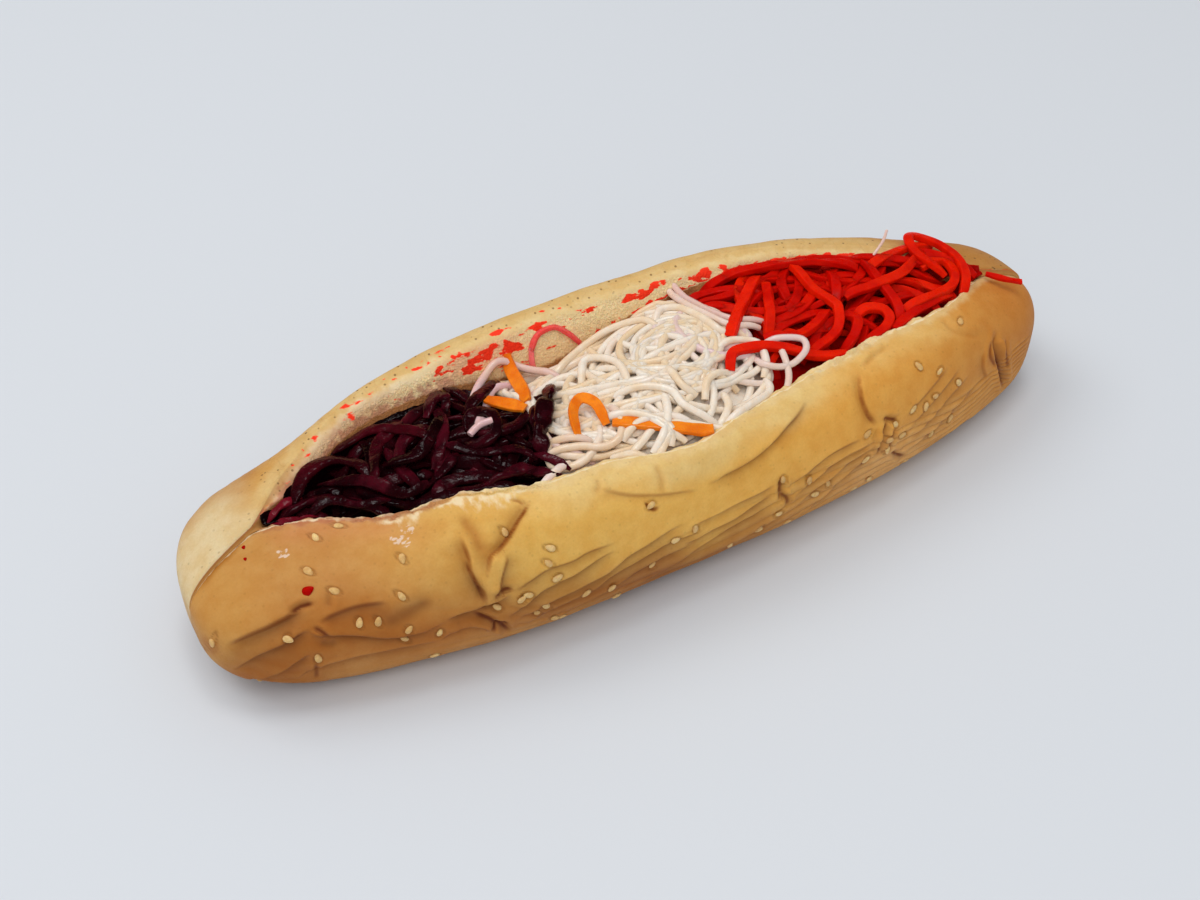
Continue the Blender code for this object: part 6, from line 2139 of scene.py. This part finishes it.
    def core(self, kind: Cutting, material: Material, rows: int = 60, columns: int = 34) -> Thing:
        """Makes the mass of shreds below the ones that show, as one closed bumpy solid.

        Args:
            kind: Whose heap.
            material: Its material.
            rows: Points along the roll.
            columns: Points across it.

        Returns:
            The piece.
        """
        bed = self.bed
        u, v = np.meshgrid(np.linspace(0, 1, rows), np.linspace(0.03, 0.97, columns), indexing="ij")
        y = -0.03 + 0.06 * v
        for _ in range(self.rounds):
            left, right = bed.ends(kind, y)
            x = left + self.core_gap + (right - left - 2 * self.core_gap) * u
            i = bed.steps(x, bed.x)
            y = bed.near[i] + (bed.far[i] - bed.near[i]) * v
        cells = bed.cells(np.stack([x, y], axis=-1))
        top = np.minimum(bed.floor[cells], bed.top[cells]) - self.core_sunk
        top = top + self.core_bumps * self.grain.layered(np.stack([x, y, top], axis=-1), self.core_bump_size)
        low = np.array([[self.trough_height(a, b) for a, b in zip(*row)] for row in zip(x, y)])
        low = low + self.core_rise
        top = np.maximum(top, low + self.core_least)
        points = [np.stack([x, y, z], axis=-1).reshape(-1, 3) for z in (top, low)]
        count = rows * columns
        index = np.arange(count).reshape(rows, columns)
        quads = np.stack([index[:-1, :-1], index[1:, :-1], index[1:, 1:], index[:-1, 1:]],
                         axis=-1).reshape(-1, 4)
        faces = [tuple(quad) for quad in np.vstack([quads, count + quads[:, ::-1]]).tolist()]
        ring = [*index[0, :-1], *index[:-1, -1], *index[-1, :0:-1], *index[:0:-1, 0]]
        faces += [(int(a), int(b), int(b) + count, int(a) + count) for a, b in zip(ring, ring[1:] + ring[:1])]
        thing = outward(plain_mesh(f"{kind.value}_core", np.vstack(points), faces))
        # painted shade and light: the beetroot and red carrot cores take the darkest tone, as shade in the
        # gaps between shreds, and the radish core the lightest, as light in its gaps
        for label in ("tone", "blush"):
            store(thing, label, np.full(2 * count, 1.0 if label == "tone" and kind is WHITE else 0.0))
        thing.data.materials.append(material)
        return thing

    def trough_height(self, x: float, y: float) -> float:
        """Height of the slit's floor below a point in plan.

        Args:
            x: The point's station.
            y: Its distance across the roll.

        Returns:
            The height.
        """
        row = int(self.bed.steps(x, self.bed.x))
        if row not in self.floors:
            self.floors[row] = self.bed.form.slit_parts(float(self.bed.x[row]))[1]
        trough = self.floors[row]
        return float(np.interp(y, trough[::-1, 0], trough[::-1, 1]))


@dataclass(frozen=True)
class WetCut(Flesh):
    """Raw cut vegetable, wet with its own juice: dark to light by each shred's tone, with darker fine fibres.
    """

    dark: str = "#000000"
    middle: str = "#808080"
    light: str = "#ffffff"
    blushed: str = "#808080"
    fibre_mm: float = 0.5
    relief_mm: float = 0.06
    spread: float = 0.5

    def make(self) -> Material:
        """Builds the material from the shreds' tone and blush.

        Returns:
            The material.
        """
        material, tree, shader = self.start()
        tone = frayed(tree, "tone", self.spread / 2, 0.3, 4.0)
        blush = add(tree, ATTRIBUTE, out="Fac", attribute_name="blush")
        fibres = grain_at(tree, self.fibre_mm)
        middle, light, pink, gaps, rough = (
            add(tree, RANGE, {0: value, 1: low, 2: high, 3: least, 4: most}, **SMOOTH)
            for value, low, high, least, most in (
                (tone, 0.0, 0.5, 0.0, 1.0), (tone, 0.45, 1.0, 0.0, 1.0), (blush, 0.0, 1.0, 0.0, 0.85),
                (fibres, 0.35, 0.7, 0.0, 0.22),
                (fibres, 0.3, 0.7, 0.7 * self.roughness, 1.6 * self.roughness),
            )
        )
        coats = ((middle, self.middle), (light, self.light), (pink, self.blushed), (gaps, self.dark))
        relief = {"Height": grain_at(tree, 1.3 * self.fibre_mm), "Distance": self.relief_mm * MM,
                  "Strength": 1.0}
        inputs = {"Base Color": painted(tree, rgba(self.dark), *coats), "Roughness": rough}
        wire(tree, shader, {**inputs, "Normal": add(tree, "ShaderNodeBump", relief)})
        return material


# raw beetroot: near black with a wine-red edge, very wet
RAW_BEETROOT = WetCut(
    "raw_beetroot", roughness=0.17, depth_mm=0.6, scatter=0.1, scatter_colour=(1.0, 0.1, 0.15),
    shine=0.45, dark="#0e0103", middle="#220308", light="#4c0a18", blushed="#760f20", fibre_mm=1.0,
    relief_mm=0.3, spread=0.35,
)
# raw white radish: cream and see-through, pink where beetroot juice has reached it
RAW_RADISH = WetCut(
    "raw_white_radish", roughness=0.2, depth_mm=0.5, scatter=0.25, scatter_colour=(1.0, 0.85, 0.7),
    shine=0.9, dark="#e2b884", middle="#ead0ac", light="#f2e8da", blushed="#dab0bc", fibre_mm=1.2,
    relief_mm=0.02, spread=0.2,
)
# raw red carrot: full red, with its deep red on the core as painted shade in the gaps
RAW_RED_CARROT = WetCut(
    "raw_red_carrot", roughness=0.34, depth_mm=2.4, scatter=0.45, scatter_colour=(1.0, 0.1, 0.03),
    shine=0.1, dark="#a20400", middle="#c60a00", light="#e62002", blushed="#ff8482", fibre_mm=1.0,
    relief_mm=0.03, spread=0.25,
)
# raw orange carrot
RAW_ORANGE_CARROT = WetCut(
    "raw_orange_carrot", roughness=0.30, depth_mm=1.2, scatter=0.3, scatter_colour=(1.0, 0.4, 0.1),
    coat=0.1, shine=0.25, dark="#c4500c", middle="#e8720e", light="#f58c1c", blushed="#d0502c",
    fibre_mm=0.8, relief_mm=0.04,
)
BAKED_BREAD = BakedBread("baked_milk_bread", roughness=0.55, depth_mm=1.2, scatter=0.15,
                         scatter_colour=(1.0, 0.55, 0.25))
SESAME = HulledSeed("hulled_sesame", roughness=0.42, depth_mm=0.8, scatter=0.25,
                    scatter_colour=(1.0, 0.7, 0.35))


# ---------------------------------------------------------------------------------------------- the studio
@dataclass(frozen=True)
class Lamp:
    """A square soft light that is aimed at the food, with the light that it gives there.

    Only a mirrored lamp shows in glossy surfaces, as a small window or bulb does.
    """

    name: str
    place: tuple[float, float, float]
    size: float
    strength: float
    mirrored: bool = False

    def hang(self, scene: bpy.types.Scene, target: Vector) -> None:
        """Hangs the lamp in the scene.

        Args:
            scene: The scene that it lights.
            target: What it is aimed at.
        """
        light = bpy.data.lights.new(self.name, "AREA")
        light.size = self.size
        way = target - Vector(self.place)
        light.energy = self.strength * math.pi * way.length_squared
        lamp = bpy.data.objects.new(self.name, light)
        lamp.location = self.place
        lamp.rotation_mode = "QUATERNION"
        lamp.rotation_quaternion = way.to_track_quat("-Z", "Y")
        lamp.visible_glossy = self.mirrored
        scene.collection.objects.link(lamp)


@dataclass(frozen=True)
class Studio:
    """A plain pale floor, soft lamps behind and in front of the food, an even pale surround, the camera."""

    azimuth: float = -27.8
    elevation: float = 42.0
    distance: float = 0.5205
    target: tuple[float, float, float] = (-0.0163, -0.0015, 0.028)
    shift_across: float = -0.00025
    shift_up: float = -0.0011
    lens: float = 50.0
    lamps: tuple[Lamp, ...] = (
        Lamp("soft_key", (-1.0, 1.1, 2.0), 1.4, 0.87),
        Lamp("soft_front", (-0.6, -0.9, 2.0), 1.6, 0.78),
        Lamp("low_fill", (-1.4, -1.6, 0.9), 1.2, 0.22),
        Lamp("small_key", (0.1, 0.15, 2.2), 0.55, 0.45, True),
    )
    surround: float = 0.57
    surround_colour: str = "#f7f6f6"
    nearest: float = 0.01
    floor_half: float = 3.0
    floor_colour: str = "#d5dae0"
    floor_roughness: float = 0.7

    def build(self) -> Thing:
        """Makes the floor, lights and camera, and returns the floor.

        Returns:
            The floor.
        """
        scene = bpy.context.scene
        scene.view_settings.view_transform = "Standard"
        world = bpy.data.worlds.new("pale_surround")
        world.use_nodes = True
        inputs = {"Color": rgba(self.surround_colour), "Strength": self.surround}
        wire(world.node_tree, world.node_tree.nodes["Background"], inputs)
        world.cycles_visibility.glossy = False
        scene.world = world
        for lamp in self.lamps:
            lamp.hang(scene, Vector(self.target))
        self.place_camera(scene)
        return self.floor()

    def place_camera(self, scene: bpy.types.Scene) -> None:
        """Puts the camera where the picture was taken from.

        Args:
            scene: The scene that it looks at.
        """
        a, e = math.radians(self.azimuth), math.radians(self.elevation)
        back = Vector((math.sin(a) * math.cos(e), -math.cos(a) * math.cos(e), math.sin(e)))
        right = Vector((math.cos(a), math.sin(a), 0))
        up = back.cross(right)
        data = bpy.data.cameras.new("camera")
        data.lens = self.lens
        data.clip_start = self.nearest
        camera = bpy.data.objects.new("camera", data)
        shift = up * self.shift_up - right * self.shift_across
        camera.location = Vector(self.target) + back * self.distance + shift
        camera.rotation_mode = "QUATERNION"
        camera.rotation_quaternion = back.to_track_quat("Z", "Y")
        scene.collection.objects.link(camera)
        scene.camera = camera

    def floor(self) -> Thing:
        """Makes the pale floor.

        Returns:
            The floor.
        """
        half = self.floor_half
        corners = np.array([(-half, -half, 0), (half, -half, 0), (half, half, 0), (-half, half, 0)])
        floor = plain_mesh("floor", corners, [(0, 1, 2, 3)])
        paint = {"Base Color": rgba(self.floor_colour), "Roughness": self.floor_roughness}
        floor.data.materials.append(fresh_material("pale_painted_board", paint)[0])
        return floor


def settle(piece: Thing, node: str) -> None:
    """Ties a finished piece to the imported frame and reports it.

    Args:
        piece: The finished piece.
        node: The CAD node that it stands for.
    """
    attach(piece, "root")
    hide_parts(node)
    LOG.info("%s stands for %s: %d faces", piece.name, node, len(piece.data.polygons))


def main() -> None:
    """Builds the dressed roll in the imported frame."""
    logging.basicConfig(level=logging.INFO, format="%(message)s")
    form = RollForm()
    bread = Bread(form)
    roll = bread.build()
    roll.data.materials.append(BAKED_BREAD.make())
    settle(roll, "bun")
    red_carrot = RAW_RED_CARROT.make()
    topping = Topping(bread)
    settle(topping.seeds(SESAME.make()), "bun")
    settle(topping.chips(red_carrot), "red_carrot_heap")

    filling = Filling(Bed(form))
    filling.lay_all()
    heaps = ((BEET, "beetroot_heap", RAW_BEETROOT.make()), (WHITE, "radish_heap", RAW_RADISH.make()),
             (RED, "red_carrot_heap", red_carrot))
    for kind, node, material in heaps:
        settle(filling.swept(f"{kind.value}_shreds", kind, filling.laid[kind], material), node)
        settle(filling.core(kind, material), node)
    orange = RAW_ORANGE_CARROT.make()
    for number, line in enumerate(filling.laid[AMBER], 1):
        settle(filling.swept(f"orange_shred_{number}", AMBER, [line], orange), f"orange_strip_{number}")

    Studio().build()


if __name__ == "__main__":
    main()
